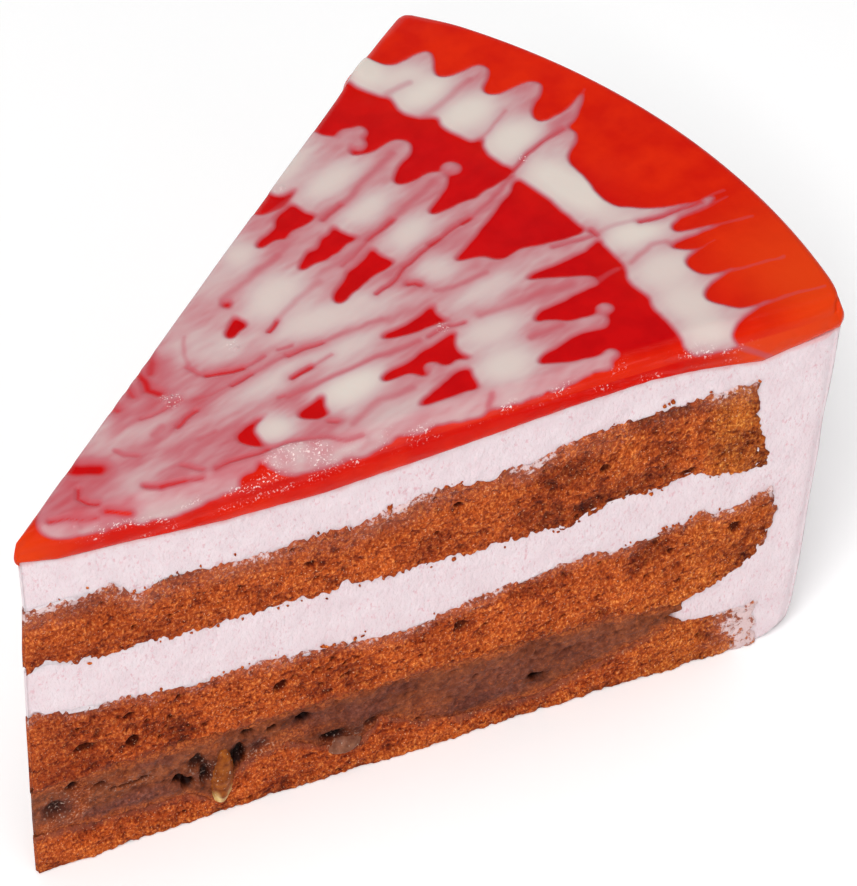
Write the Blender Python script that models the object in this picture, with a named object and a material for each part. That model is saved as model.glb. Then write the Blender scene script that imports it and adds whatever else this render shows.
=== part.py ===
"""A slice of layered chocolate cake, cut from a round cake 20 cm across.

Three chocolate sponges are held by pink mousse, which also covers the outer wall. A dark chocolate
filling with chopped nuts lies between the lower two, and a red jelly glaze with feathered icing
covers the top. The slice points along -X, its outer wall faces +X, and it stands on z = 0.
Sizes below are in millimetres and the solids are made in metres.
"""
import math

import bmesh
import bpy
import numpy as np

METRE = 0.001

# The slice: radii run from its tip, shares run from -1 at the near cut to 1 at the far cut. The origin
# is the middle of the slice's foot, and the cake's centre is measured from the tip too
SLICE_ANGLE = 43.0
HEIGHT = 58.9
ORIGIN = (52.56, -0.14)
TIP_BLUNT = 0.6
CAKE_RADIUS = 92.5
CAKE_CENTRE = (14.3, -0.9)
GAP = 0.3

# The tip's foot spreads forward, and the outer wall leans in to a rounded foot: (height, offset)
TIP_SPREAD = ((0, 2.3), (10, 2.1), (20, 1.6), (30, 1.2), (40, 0.7), (47, 0.0), (59, 0.0))
TIP_SPREAD_REACH = 15.0
WALL_LEAN = ((0, 7.6), (0.9, 5.2), (2.2, 4.1), (5, 3.5), (12, 3.0), (25, 2.2), (35, 1.5), (45, 0.8),
             (53, 0.4), (57, 0.0), (59, 0.0))

# Outlines of the layers at the near cut: (radius, height)
BASE = ((0, 0.0), (106, 0.0))
SPONGE_BOTTOM_TOP = ((0, 7.3), (11, 6.0), (19, 5.4), (27, 8.6), (32, 9.9), (36, 7.0), (41, 4.6),
                     (45, 8.6), (50, 5.4), (57, 3.8), (66, 3.4), (75, 5.7), (84, 9.2), (90, 8.3), (99, 8.2))
SPONGE_MIDDLE_BOTTOM = ((0, 14.9), (30, 14.5), (50, 14.0), (75, 13.3), (85, 12.2), (90, 13.3),
                        (95, 15.4), (97.5, 18.0), (99, 21.5))
SPONGE_MIDDLE_TOP = ((0, 29.0), (8, 27.3), (20, 25.8), (33, 25.2), (47, 23.5), (57, 24.9), (68, 27.0),
                     (76, 26.0), (88, 27.7), (92, 27.3), (99, 29.2))
SPONGE_TOP_BOTTOM = ((0, 36.5), (10, 35.1), (30, 34.4), (45, 34.0), (65, 33.2), (80, 34.7), (86, 35.2),
                     (94, 32.9), (99, 33.2))
SPONGE_TOP_TOP = ((0, 46.9), (10, 46.9), (18, 46.2), (27, 44.9), (42, 45.1), (52, 46.8), (60, 46.0),
                  (68, 47.6), (80, 49.2), (90, 49.0), (99, 48.5))
GLAZE_LOWER_EDGE = ((0, 55.4), (5, 54.0), (15, 53.3), (25, 52.3), (38, 51.9), (50, 52.7), (60, 53.5),
                    (70, 54.3), (80, 54.8), (87, 54.0), (95, 52.2), (99, 53.0), (106, 53.6))
SPONGE_ENDS = ((0, 97.3), (8, 97.5), (18, 98.3), (22, 99.0), (29, 98.6), (33, 97.5), (48, 95.2), (59, 95.2))

# Notches and lumps of one spot at the near cut: (radius, rise, half width)
SPONGE_BOTTOM_DENTS = ((23.0, -4.2, 2.2),)
SPONGE_TOP_DENTS = ((14.5, -2.0, 2.4),)
SPONGE_UNDER_DENTS = ((40.5, 0.9, 1.6), (70.0, -1.2, 2.6))
NO_DENTS = ()
DENT_DEPTH = 0.16

# Slow unevenness behind the near cut: how far each layer's edge strays and its phase, and the lengths,
# turns and weights of the two waves
BASE_SWELL = (0.0, 0.0)
BOTTOM_TOP_SWELL = (0.7, 1.0)
MIDDLE_BOTTOM_SWELL = (0.6, 2.6)
MIDDLE_TOP_SWELL = (1.0, 4.1)
TOP_BOTTOM_SWELL = (0.9, 5.3)
TOP_TOP_SWELL = (0.8, 6.9)
SWELL_LENGTHS = (9.5, 21.0)
SWELL_TURNS = (2.3, 2.9)
SWELL_WEIGHTS = (0.6, 0.4)
SWELL_PHASE_STEP = 1.7

# The glaze: its underside lies level behind the cuts and sags at them and at the rim. Its top edges are
# rounded, more at the near cut than at the far one
GLAZE_UNDERSIDE = 55.4
GLAZE_SAG_DEPTH = 7.0
GLAZE_RIM_SAG_DEPTH = 6.0
GLAZE_RIM_BLEND = 4.0
GLAZE_RIM_RADIUS = 106.0
FAR_EDGE_DROP = 1.7
FAR_EDGE_WAVE = (0.9, 12.0, 0.8)
GLAZE_NEAR_ROUND = 2.4
GLAZE_FAR_ROUND = 1.2
GLAZE_RIM_ROUND = 1.7
GLAZE_UNEVENNESS = 0.12
GLAZE_SWELL_PHASE = 0.4

# The feathered icing: inner radii of its rings about the cake's centre, pulled outward in points
ICING_RINGS = (77.4, 54.5, 36.5, 21.5)
ICING_RING_WIDTH = 6.8
ICING_PULL = 3.2
ICING_LOBE_WIDTH = 6.6
ICING_LOBE_STAGGER = 0.37
ICING_SHOULDER = 1.5
ICING_SETBACK = 0.8
ICING_EDGE_FADE = 2.0
ICING_RISE = 0.38

# Stations of the shared lattice
SHARES = (-1, -0.93, -0.8, -0.6, -0.36, -0.12, 0.12, 0.36, 0.6, 0.8, 0.93, 1)
FILLING_RADII = (TIP_BLUNT, 3, 7, 11, 15, 19, 23, 27, 31.5, 36, 40.5, 45, 49.5, 54, 58.5, 63, 67.5, 72,
                 76.5, 80.5, 84.2)
OUTER_SHARES = (0, 0.3, 0.62, 0.84, 1)
WALL_SHARES = (0, 0.55, 0.83, 1)
WALL_GUESS = 9.0

# Where the inner levels of the sponges and of the middle mousse lie between their edges
BOTTOM_INNER = (0.2, 0.55)
MIDDLE_INNER = (0.35, 0.7)
TOP_INNER = (0.33, 0.67)
HALFWAY = 0.5

# Chopped nuts in the filling at the near cut: name, radius, height, half sizes along r, depth and z, turn
NUTS = (("nut_long", 23.4, 6.9, (1.5, 1.5, 4.6), 6.0), ("nut_small", 39.6, 5.6, (2.3, 1.5, 1.2), -8.0))
NUT_DEPTH = 0.75
NUT_PINCH = 0.22

# Relief of the cut faces: lower and upper level, how far, and the seed of its unevenness
CUT_RELIEF = (
    ("base_round", "bottom_top", 0.28, 11),
    ("middle_low", "middle_top", 0.28, 12),
    ("top_low", "top_top", 0.28, 13),
    ("fill_low", "fill_top", 0.42, 14),
    ("cream_low", "cream_top", 0.07, 15),
)
SHARP_ANGLE = 40.0

# Colours and surfaces
MATERIALS = {
    "sponge": ((0.37, 0.078, 0.024), 0.9),
    "filling": ((0.205, 0.060, 0.032), 0.45),
    "mousse": ((0.83, 0.68, 0.71), 0.6),
    "glaze": ((0.68, 0.02, 0.008), 0.15),
    "nut": ((0.36, 0.15, 0.045), 0.35),
}


def clear_scene():
    for item in list(bpy.data.objects):
        bpy.data.objects.remove(item, do_unlink=True)


def make_collection(name):
    """A new collection for the slice or for its cutters, linked to the scene."""
    collection = bpy.data.collections.new(name)
    bpy.context.scene.collection.children.link(collection)
    return collection


def make_material(name):
    """A Principled material with the colour and roughness listed for it."""
    colour, roughness = MATERIALS[name]
    material = bpy.data.materials.new(name)
    material.use_nodes = True
    shader = material.node_tree.nodes["Principled BSDF"]
    shader.inputs["Base Color"].default_value = (*colour, 1.0)
    shader.inputs["Roughness"].default_value = roughness
    shader.inputs["Metallic"].default_value = 0.0
    material.diffuse_color = (*colour, 1.0)
    return material


def along(points, where):
    """Value at each place on a line drawn through a few points."""
    places, values = np.array(points, dtype=float).T
    return np.interp(where, places, values)


def ease(value):
    """0 below 0, 1 above 1, and a smooth step between."""
    value = np.clip(value, 0.0, 1.0)
    return value * value * (3.0 - 2.0 * value)


def swells(radius, share, phase):
    """Slow unevenness across the slice, between -1 and 1, with no two layers alike."""
    first = np.sin(radius / SWELL_LENGTHS[0] + SWELL_TURNS[0] * share + phase)
    second = np.sin(SWELL_TURNS[1] * share - radius / SWELL_LENGTHS[1] + SWELL_PHASE_STEP * phase)
    return SWELL_WEIGHTS[0] * first + SWELL_WEIGHTS[1] * second


def layer_height(outline, dents, layer_swell, radius, share):
    """Height of a layer's edge: as drawn at the near cut, uneven in its own way behind it."""
    swell, phase = layer_swell
    depth = 0.5 * (share + 1.0)
    height = along(outline, radius) + swell * ease(2.0 * depth) * swells(radius, share, phase)
    for place, rise, half_width in dents:
        spot = np.exp(-(((radius - place) / half_width) ** 2)) * np.exp(-((depth / DENT_DEPTH) ** 2))
        height = height + rise * spot
    return height


def outer_radius(share):
    """Distance from the tip to the cake's round outside, along each share's direction."""
    angle = share * math.radians(SLICE_ANGLE / 2)
    towards = CAKE_CENTRE[0] * np.cos(angle) + CAKE_CENTRE[1] * np.sin(angle)
    offset = CAKE_CENTRE[0] ** 2 + CAKE_CENTRE[1] ** 2
    return towards + np.sqrt(towards ** 2 - offset + CAKE_RADIUS ** 2)


def from_cut(radius, share):
    """Distance from the nearer cut, across the slice."""
    return radius * np.sin((1.0 - np.abs(share)) * math.radians(SLICE_ANGLE / 2))


def placed(radius, share, height):
    """Points in metres for radii, shares and heights, with the tip's spread foot."""
    angle = share * math.radians(SLICE_ANGLE / 2)
    spread = along(TIP_SPREAD, height) * np.exp(-radius / TIP_SPREAD_REACH)
    x = radius * np.cos(angle) - spread - ORIGIN[0]
    y = radius * np.sin(angle) - ORIGIN[1]
    return np.stack([x, y, height], axis=-1) * METRE


def glaze_underside(radius, share):
    """The glaze's underside: level inside, dragged down at both cuts and over the rim."""
    wave, length, phase = FAR_EDGE_WAVE
    near = along(GLAZE_LOWER_EDGE, radius)
    far = GLAZE_UNDERSIDE - FAR_EDGE_DROP + wave * np.sin(radius / length + phase)
    edge = np.where(share < 0, near, far)
    from_rim = outer_radius(share) - radius
    at_rim = along(GLAZE_LOWER_EDGE, GLAZE_RIM_RADIUS)
    edge = edge + (at_rim - edge) * ease(1.0 - from_rim / GLAZE_RIM_BLEND)
    near_cut = ease(1.0 - from_cut(radius, share) / GLAZE_SAG_DEPTH)
    near_rim = ease(1.0 - from_rim / GLAZE_RIM_SAG_DEPTH)
    return GLAZE_UNDERSIDE + (edge - GLAZE_UNDERSIDE) * np.maximum(near_cut, near_rim)


def icing_rise(radius, share):
    """Low relief of the icing: rings about the centre, with lobes that bulge inward between pulls."""
    angle = share * math.radians(SLICE_ANGLE / 2)
    forward = radius * np.cos(angle) - CAKE_CENTRE[0]
    sideways = radius * np.sin(angle) - CAKE_CENTRE[1]
    from_centre = np.hypot(forward, sideways)
    rise = np.zeros_like(radius)
    for number, ring in enumerate(ICING_RINGS):
        lobe = np.abs(np.sin(math.pi * (sideways / ICING_LOBE_WIDTH + ICING_LOBE_STAGGER * number)))
        middle = ring + ICING_PULL * (1.0 - lobe) + ICING_RING_WIDTH / 2
        off_middle = np.abs(from_centre - middle) / (ICING_RING_WIDTH / 2)
        rise = np.maximum(rise, ease(ICING_SHOULDER - off_middle))
    inside = ease((from_cut(radius, share) - ICING_SETBACK) / ICING_EDGE_FADE)
    return ICING_RISE * rise * inside


def rounded_drop(distance, size):
    """How far a quarter-round edge of a size has dropped, at a distance inside it."""
    bend = np.clip(1.0 - distance / size, 0.0, 1.0)
    return size * (1.0 - np.sqrt(1.0 - bend ** 2))


def glaze_top(radius, share):
    """The glaze's top: almost level, rounded down at the cuts and at the rim, with the icing on it."""
    cut_round = GLAZE_NEAR_ROUND + (GLAZE_FAR_ROUND - GLAZE_NEAR_ROUND) * ease(HALFWAY + share)
    at_cut = rounded_drop(from_cut(radius, share), cut_round)
    at_rim = rounded_drop(outer_radius(share) - radius, GLAZE_RIM_ROUND)
    drop = np.maximum(at_cut, at_rim)
    uneven = GLAZE_UNEVENNESS * (swells(radius, share, GLAZE_SWELL_PHASE) - 1.0) * ease(1.0 - drop)
    return HEIGHT - ICING_RISE - drop + uneven + icing_rise(radius, share)


def level_list():
    """The lattice's levels from the base up, each a function of radius and share."""
    def edge(outline, dents, layer_swell, shift=0.0):
        return lambda r, s: layer_height(outline, dents, layer_swell, r, s) + shift

    def between(low, high, part):
        return lambda r, s: low(r, s) + part * (high(r, s) - low(r, s))

    base = edge(BASE, NO_DENTS, BASE_SWELL)
    bottom_top = edge(SPONGE_BOTTOM_TOP, SPONGE_BOTTOM_DENTS, BOTTOM_TOP_SWELL)
    fill_low = edge(SPONGE_BOTTOM_TOP, SPONGE_BOTTOM_DENTS, BOTTOM_TOP_SWELL, GAP)
    middle_low = edge(SPONGE_MIDDLE_BOTTOM, NO_DENTS, MIDDLE_BOTTOM_SWELL)
    fill_top = edge(SPONGE_MIDDLE_BOTTOM, NO_DENTS, MIDDLE_BOTTOM_SWELL, -GAP)
    middle_top = edge(SPONGE_MIDDLE_TOP, NO_DENTS, MIDDLE_TOP_SWELL)
    cream_low = edge(SPONGE_MIDDLE_TOP, NO_DENTS, MIDDLE_TOP_SWELL, GAP)
    top_low = edge(SPONGE_TOP_BOTTOM, SPONGE_UNDER_DENTS, TOP_BOTTOM_SWELL)
    cream_top = edge(SPONGE_TOP_BOTTOM, SPONGE_UNDER_DENTS, TOP_BOTTOM_SWELL, -GAP)
    top_top = edge(SPONGE_TOP_TOP, SPONGE_TOP_DENTS, TOP_TOP_SWELL)
    cover_low = edge(SPONGE_TOP_TOP, SPONGE_TOP_DENTS, TOP_TOP_SWELL, GAP)
    return (
        ("base", base),
        ("base_round", between(base, bottom_top, BOTTOM_INNER[0])),
        ("bottom_inner", between(base, bottom_top, BOTTOM_INNER[1])),
        ("bottom_top", bottom_top),
        ("fill_low", fill_low),
        ("fill_inner", between(fill_low, fill_top, HALFWAY)),
        ("fill_top", fill_top),
        ("middle_low", middle_low),
        ("middle_inner_a", between(middle_low, middle_top, MIDDLE_INNER[0])),
        ("middle_inner_b", between(middle_low, middle_top, MIDDLE_INNER[1])),
        ("middle_top", middle_top),
        ("cream_low", cream_low),
        ("cream_inner", between(cream_low, cream_top, HALFWAY)),
        ("cream_top", cream_top),
        ("top_low", top_low),
        ("top_inner_a", between(top_low, top_top, TOP_INNER[0])),
        ("top_inner_b", between(top_low, top_top, TOP_INNER[1])),
        ("top_top", top_top),
        ("cover_low", cover_low),
        ("cover_top", lambda r, s: glaze_underside(r, s) - GAP),
    )


def make_lattice():
    """Points of the shared lattice, indexed by share, column and level, and each level's number."""
    names = {}
    slabs = []
    share = np.array(SHARES, dtype=float)[:, None]
    outside = outer_radius(share)
    shift = outside - outer_radius(np.array(-1.0))
    inner = np.repeat(np.array(FILLING_RADII, dtype=float)[None, :], len(SHARES), axis=0)
    for number, (name, height_at) in enumerate(level_list()):
        names[name] = number
        guess = np.array(FILLING_RADII[-1] + WALL_GUESS)
        at_height = height_at(guess[None, None], share)
        end = along(SPONGE_ENDS, at_height) + shift
        wall = outside - along(WALL_LEAN, height_at(outside, share))
        start = FILLING_RADII[-1] + GAP
        outer = start + np.array(OUTER_SHARES)[None, :] * (end - start)
        skin = end + GAP + np.array(WALL_SHARES)[None, :] * (wall - end - GAP)
        radius = np.concatenate([inner, outer, skin], axis=1)
        slabs.append(placed(radius, share, height_at(radius, share) + 0.0 * radius))
    return np.stack(slabs, axis=2), names


def roughen_cuts(lattice, levels, relief, seed):
    """Move the points of both cut faces out and in along the cuts' directions, by up to the relief."""
    noise = np.random.default_rng(seed)
    low, high = levels
    half = math.radians(SLICE_ANGLE / 2)
    for share, side in ((0, -1.0), (-1, 1.0)):
        outward = np.array([-math.sin(half), side * math.cos(half), 0.0])
        face = lattice[share, :, low:high + 1]
        away = noise.uniform(-relief, relief, face.shape[:2]) * METRE
        lattice[share, :, low:high + 1] = face + away[..., None] * outward


def cells_surface(bm, lattice, filled):
    """Skin of the filled cells of a lattice: every cell face with no filled cell behind it.

    filled is indexed by column and level, and holds for every share.
    """
    shares, columns, levels = lattice.shape[:3]
    solid = np.zeros((shares + 1, columns + 1, levels + 1), dtype=bool)
    solid[1:-1, 1:-1, 1:-1] = filled
    corners = {}

    def corner(*place):
        if place not in corners:
            corners[place] = bm.verts.new(lattice[place])
        return corners[place]

    steps = np.eye(3, dtype=int)
    for axis in range(3):
        ahead, behind = steps[(axis + 1) % 3], steps[(axis + 2) % 3]
        changed = np.diff(solid.astype(int), axis=axis)
        for place in np.argwhere(changed != 0):
            cell = place.copy()
            others = [number for number in range(3) if number != axis]
            cell[others] -= 1
            ring = (cell, cell + ahead, cell + ahead + behind, cell + behind)
            bm.faces.new([corner(*step) for step in ring])


def finish_solid(bm, name, material, collection):
    """An object from a bmesh, with outward faces, sharp at its corners."""
    bmesh.ops.recalc_face_normals(bm, faces=bm.faces)
    mesh = bpy.data.meshes.new(name)
    bm.to_mesh(mesh)
    bm.free()
    mesh.materials.append(material)
    mesh.shade_smooth()
    mesh.set_sharp_from_angle(angle=math.radians(SHARP_ANGLE))
    solid = bpy.data.objects.new(name, mesh)
    collection.objects.link(solid)
    return solid


def make_layer(name, lattice, blocks, material, collection):
    """A solid from blocks of lattice cells, each block given by its columns and levels."""
    filled = np.zeros((lattice.shape[1] - 1, lattice.shape[2] - 1), dtype=bool)
    for (first, last), (low, high) in blocks:
        filled[first:last, low:high] = True
    bm = bmesh.new()
    cells_surface(bm, lattice, filled)
    return finish_solid(bm, name, material, collection)


def halved(values, axis):
    """The values with a new one midway between every two neighbours."""
    values = np.moveaxis(values, axis, 0)
    fine = np.empty((2 * len(values) - 1, *values.shape[1:]))
    fine[::2] = values
    fine[1::2] = 0.5 * (values[:-1] + values[1:])
    return np.moveaxis(fine, 0, axis)


def make_glaze(material, collection):
    """The jelly glaze: a fine top with the icing's relief over a coarse underside."""
    share = np.array(SHARES, dtype=float)[:, None]
    outside = outer_radius(share)
    shift = outside - outer_radius(np.array(-1.0))
    inner = np.repeat(np.array(FILLING_RADII, dtype=float)[None, :], len(SHARES), axis=0)
    end = SPONGE_ENDS[-1][1] + shift
    outer = FILLING_RADII[-1] + np.array(OUTER_SHARES)[None, 1:] * (end - FILLING_RADII[-1])
    skin = end + np.array(WALL_SHARES)[None, 1:] * (outside - end)
    radius = np.concatenate([inner, outer, skin], axis=1)
    low = placed(radius, share, glaze_underside(radius, share))
    fine_share = halved(share, 0)
    fine_radius = halved(halved(radius, 0), 1)
    high = placed(fine_radius, fine_share, glaze_top(fine_radius, fine_share))
    bm = bmesh.new()
    under = [[bm.verts.new(point) for point in row] for row in low]
    over = [[bm.verts.new(point) for point in row] for row in high]
    for sheet in (under, over):
        for row, next_row in zip(sheet, sheet[1:]):
            for at in range(len(row) - 1):
                bm.faces.new([row[at], row[at + 1], next_row[at + 1], next_row[at]])
    columns = [list(line) for line in zip(*under)]
    fine_columns = [list(line) for line in zip(*over)]
    borders = ((under[0], over[0]), (under[-1], over[-1]),
               (columns[0], fine_columns[0]), (columns[-1], fine_columns[-1]))
    for below, above in borders:
        for at in range(len(below) - 1):
            bm.faces.new([below[at], below[at + 1], *reversed(above[2 * at:2 * at + 3])])
    return finish_solid(bm, "glaze", material, collection)


def nut_body(name, spec, grow, collection):
    """A nut piece, or its pocket's cutter when grown: a pinched ball lying in the near cut."""
    radius, height, half_sizes, turn = spec
    bpy.ops.mesh.primitive_uv_sphere_add(segments=12, ring_count=8, radius=1.0)
    body = bpy.context.object
    body.name = name
    body.data.name = name
    for owner in list(body.users_collection):
        owner.objects.unlink(body)
    collection.objects.link(body)
    half = math.radians(SLICE_ANGLE / 2)
    for vertex in body.data.vertices:
        vertex.co.x *= 1.0 - NUT_PINCH * vertex.co.z
        vertex.co.x *= half_sizes[0] + grow
        vertex.co.y *= half_sizes[1] + grow
        vertex.co.z *= half_sizes[2] + grow
    body.scale = (METRE, METRE, METRE)
    body.rotation_euler = (0.0, math.radians(turn), -half)
    inward = np.array([math.sin(half), math.cos(half)]) * NUT_DEPTH
    body.location = (
        (radius * math.cos(half) + inward[0] - ORIGIN[0]) * METRE,
        (-radius * math.sin(half) + inward[1] - ORIGIN[1]) * METRE,
        height * METRE,
    )
    return body


def cut_pocket(solid, cutter):
    """Open a pocket in a solid with a hidden cutter."""
    boolean = solid.modifiers.new(cutter.name, "BOOLEAN")
    boolean.operation = "DIFFERENCE"
    boolean.solver = "EXACT"
    boolean.object = cutter


def build_slice():
    """All the slice's solids in their collection."""
    clear_scene()
    slice_collection = make_collection("chocolate_cake_slice")
    cutters = make_collection("cutters")
    materials = {name: make_material(name) for name in MATERIALS}
    lattice, level = make_lattice()
    fill_end = len(FILLING_RADII) - 1
    sponge_end = len(FILLING_RADII) + len(OUTER_SHARES) - 1
    wall_start = sponge_end + 1
    wall_end = wall_start + len(WALL_SHARES) - 1

    for low, high, relief, seed in CUT_RELIEF:
        roughen_cuts(lattice, (level[low], level[high]), relief, seed)

    sponge_bottom = make_layer("sponge_bottom", lattice,
                               [((0, sponge_end), (level["base"], level["bottom_top"]))],
                               materials["sponge"], slice_collection)
    make_layer("sponge_middle", lattice,
               [((0, sponge_end), (level["middle_low"], level["middle_top"]))],
               materials["sponge"], slice_collection)
    make_layer("sponge_top", lattice,
               [((0, sponge_end), (level["top_low"], level["top_top"]))],
               materials["sponge"], slice_collection)
    filling = make_layer("filling", lattice,
                         [((0, fill_end), (level["fill_low"], level["fill_top"]))],
                         materials["filling"], slice_collection)
    make_layer("mousse", lattice,
               [((wall_start, wall_end), (level["base"], level["cover_top"])),
                ((fill_end + 1, wall_end), (level["fill_low"], level["fill_top"])),
                ((0, wall_end), (level["cream_low"], level["cream_top"])),
                ((0, wall_end), (level["cover_low"], level["cover_top"]))],
               materials["mousse"], slice_collection)
    make_glaze(materials["glaze"], slice_collection)

    for name, *spec in NUTS:
        nut = nut_body(name, spec, 0.0, slice_collection)
        nut.data.materials.append(materials["nut"])
        nut.data.shade_smooth()
        cutter = nut_body(name + "_pocket", spec, GAP, cutters)
        cutter.hide_render = True
        cutter.display_type = "WIRE"
        cut_pocket(filling, cutter)
        cut_pocket(sponge_bottom, cutter)


build_slice()
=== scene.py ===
"""Dressed model of a slice of chocolate layer cake with mousse, nut filling and feathered jelly top.

Every visible layer is a fine lattice solid worked out from the slice's own outlines. Radii run from
the slice's tip, shares run from -1 at the near cut to 1 at the far cut, and sizes are in millimetres
until a mesh is made in metres.
"""
import math

import bpy
import numpy as np
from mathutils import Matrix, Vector


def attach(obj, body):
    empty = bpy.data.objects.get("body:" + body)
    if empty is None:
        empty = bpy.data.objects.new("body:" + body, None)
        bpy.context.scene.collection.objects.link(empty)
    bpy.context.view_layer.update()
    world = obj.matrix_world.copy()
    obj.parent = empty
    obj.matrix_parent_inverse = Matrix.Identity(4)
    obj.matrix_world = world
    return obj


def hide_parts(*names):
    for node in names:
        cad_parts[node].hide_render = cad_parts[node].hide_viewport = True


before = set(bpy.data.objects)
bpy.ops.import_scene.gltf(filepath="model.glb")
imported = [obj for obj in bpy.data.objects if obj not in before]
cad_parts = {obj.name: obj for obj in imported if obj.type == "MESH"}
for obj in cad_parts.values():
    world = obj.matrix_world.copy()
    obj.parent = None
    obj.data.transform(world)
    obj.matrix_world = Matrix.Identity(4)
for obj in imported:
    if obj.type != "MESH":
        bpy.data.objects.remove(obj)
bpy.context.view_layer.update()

METRE = 0.001

# The slice, as in its solids
HALF_ANGLE = math.radians(43.0) / 2
HEIGHT = 58.9
ORIGIN = (52.56, -0.14)
TIP_BLUNT = 0.6
CAKE_RADIUS = 92.5
CAKE_CENTRE = (14.3, -0.9)
TIP_SPREAD = ((0, 2.3), (10, 2.1), (20, 1.6), (30, 1.2), (40, 0.7), (47, 0.0), (59, 0.0))
TIP_SPREAD_REACH = 15.0
WALL_LEAN = ((0, 7.6), (0.9, 5.2), (2.2, 4.1), (5, 3.5), (12, 3.0), (25, 2.2), (35, 1.5), (45, 0.8),
             (53, 0.4), (57, 0.0), (59, 0.0))

# Outlines of the layers at the near cut: (radius, height)
SPONGE_BOTTOM_TOP = ((0, 7.3), (11, 6.0), (19, 5.4), (27, 8.6), (32, 9.9), (36, 7.0), (41, 4.6),
                     (45, 8.6), (50, 5.4), (57, 3.8), (66, 3.4), (75, 5.7), (84, 9.2), (90, 8.3), (99, 8.2))
SPONGE_MIDDLE_BOTTOM = ((0, 14.9), (30, 14.5), (50, 14.0), (75, 13.3), (85, 12.2), (90, 13.3),
                        (95, 15.4), (97.5, 18.0), (99, 21.5))
SPONGE_MIDDLE_TOP = ((0, 29.0), (8, 27.3), (20, 25.8), (33, 25.2), (47, 23.5), (57, 24.9), (68, 27.0),
                     (76, 26.0), (88, 27.7), (92, 27.3), (99, 29.2))
SPONGE_TOP_BOTTOM = ((0, 36.5), (10, 35.1), (30, 34.4), (45, 34.0), (65, 33.2), (80, 34.7), (86, 35.2),
                     (94, 32.9), (99, 33.2))
SPONGE_TOP_TOP = ((0, 46.9), (10, 46.9), (18, 46.2), (27, 44.9), (42, 45.1), (52, 46.8), (60, 46.0),
                  (68, 47.6), (80, 49.2), (90, 49.0), (99, 48.5))
GLAZE_LOWER_EDGE = ((0, 55.4), (5, 54.0), (15, 53.3), (25, 52.3), (38, 51.9), (50, 52.7), (60, 53.5),
                    (70, 54.3), (80, 54.8), (87, 54.0), (95, 52.2), (99, 53.0), (106, 53.6))
SPONGE_ENDS = ((0, 97.3), (8, 97.5), (18, 98.3), (22, 99.0), (29, 98.6), (33, 97.5), (48, 95.2), (59, 95.2))
FILLING_END = 84.3
RIM_RADIUS = 106.0

# Notches and lumps of one spot at the near cut: (radius, rise, half width)
SPONGE_BOTTOM_DENTS = ((23.0, -4.2, 2.2),)
SPONGE_TOP_DENTS = ((14.5, -2.3, 2.0), (41.5, -1.0, 0.7), (11.5, 0.5, 1.6))
SPONGE_UNDER_DENTS = ((40.5, 1.5, 0.8), (70.0, -1.2, 2.2), (3.0, 0.8, 1.5))
SPONGE_MIDDLE_DENTS = ((73.5, 1.1, 1.3), (88.5, 0.8, 1.0), (29.0, 0.5, 0.5))
NO_DENTS = ()
DENT_DEPTH = 0.16
GAP = 0.3

# How far each layer's lattice stands out of the cut's plane, and how its edges turn in: a layer dives by
# EDGE_DIVE within EDGE_TURN of its edge, mousse and filling run behind the sponges by TUCK, and all relief
# dies away over TIP_CALM at the tip
MOUSSE_SET = -0.12
SPONGE_SET = 0.12
FILLING_SET = -0.05
EDGE_TURN = 0.55
EDGE_DIVE = 1.1
TUCK = 0.9
TIP_CALM = 7.0
# Shares from which a lattice begins to count as part of a cut, for sponges and for mousse
SPONGE_CUT = 0.9
MOUSSE_CUT = 0.95
# Radius at which a layer's height is read to find where its outer end lies
END_GUESS = 93.0

# The glaze: the level of its underside inside the slice, how far in from cuts and rim it begins to sag, how
# far it sags at the far cut, and how round its edges are
GLAZE_UNDERSIDE = 55.4
GLAZE_SAG_DEPTH = 7.0
RIM_SAG_DEPTH = 6.0
RIM_BLEND = 4.0
FAR_SAG = 1.7
FAR_SAG_SWELL = 0.9
GLAZE_NEAR_ROUND = 2.4
GLAZE_FAR_ROUND = 0.9
GLAZE_RIM_ROUND = 1.3


def along(points, where):
    """Value at each place on a line drawn through a few points."""
    places, values = np.array(points, dtype=float).T
    return np.interp(where, places, values)


def ease(value):
    """0 below 0, 1 above 1, and the cubic step 3v^2 - 2v^3 between."""
    value = np.clip(value, 0.0, 1.0)
    return value * value * (3.0 - 2.0 * value)


def near_edge(distance, reach):
    """Fades from 1 at an edge to 0 at some reach from it."""
    return ease(1.0 - distance / reach)


def at_cuts(share, start):
    """0 between the cuts, rising to 1 at both of them from some share on."""
    return ease((np.abs(share) - start) / (1.0 - start))


def hashed(cell, seed):
    """Repeatable value from 0 to 1 for whole-number cells: their indices times large odd numbers, mixed."""
    cell = cell.astype(np.int64)
    mixed = cell[..., 0] * 374761393 + cell[..., 1] * 668265263 + cell[..., 2] * 1274126177 + seed * 974711
    mixed = (mixed ^ (mixed >> 13)) * 1103515245
    mixed = (mixed ^ (mixed >> 16)) * 69069
    return ((mixed ^ (mixed >> 11)) & 0xFFFFF) / 0xFFFFF


def noise(points, size, seed):
    """Smooth noise from -1 to 1: hashed values at the corners of cells of one size, eased between."""
    scaled = points / size
    cell = np.floor(scaled)
    blend = ease(scaled - cell)
    total = 0.0
    for corner in np.ndindex(2, 2, 2):
        weight = np.prod(np.where(np.array(corner, bool), blend, 1.0 - blend), axis=-1)
        total = total + weight * hashed(cell + np.array(corner), seed)
    return 2.0 * total - 1.0


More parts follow.
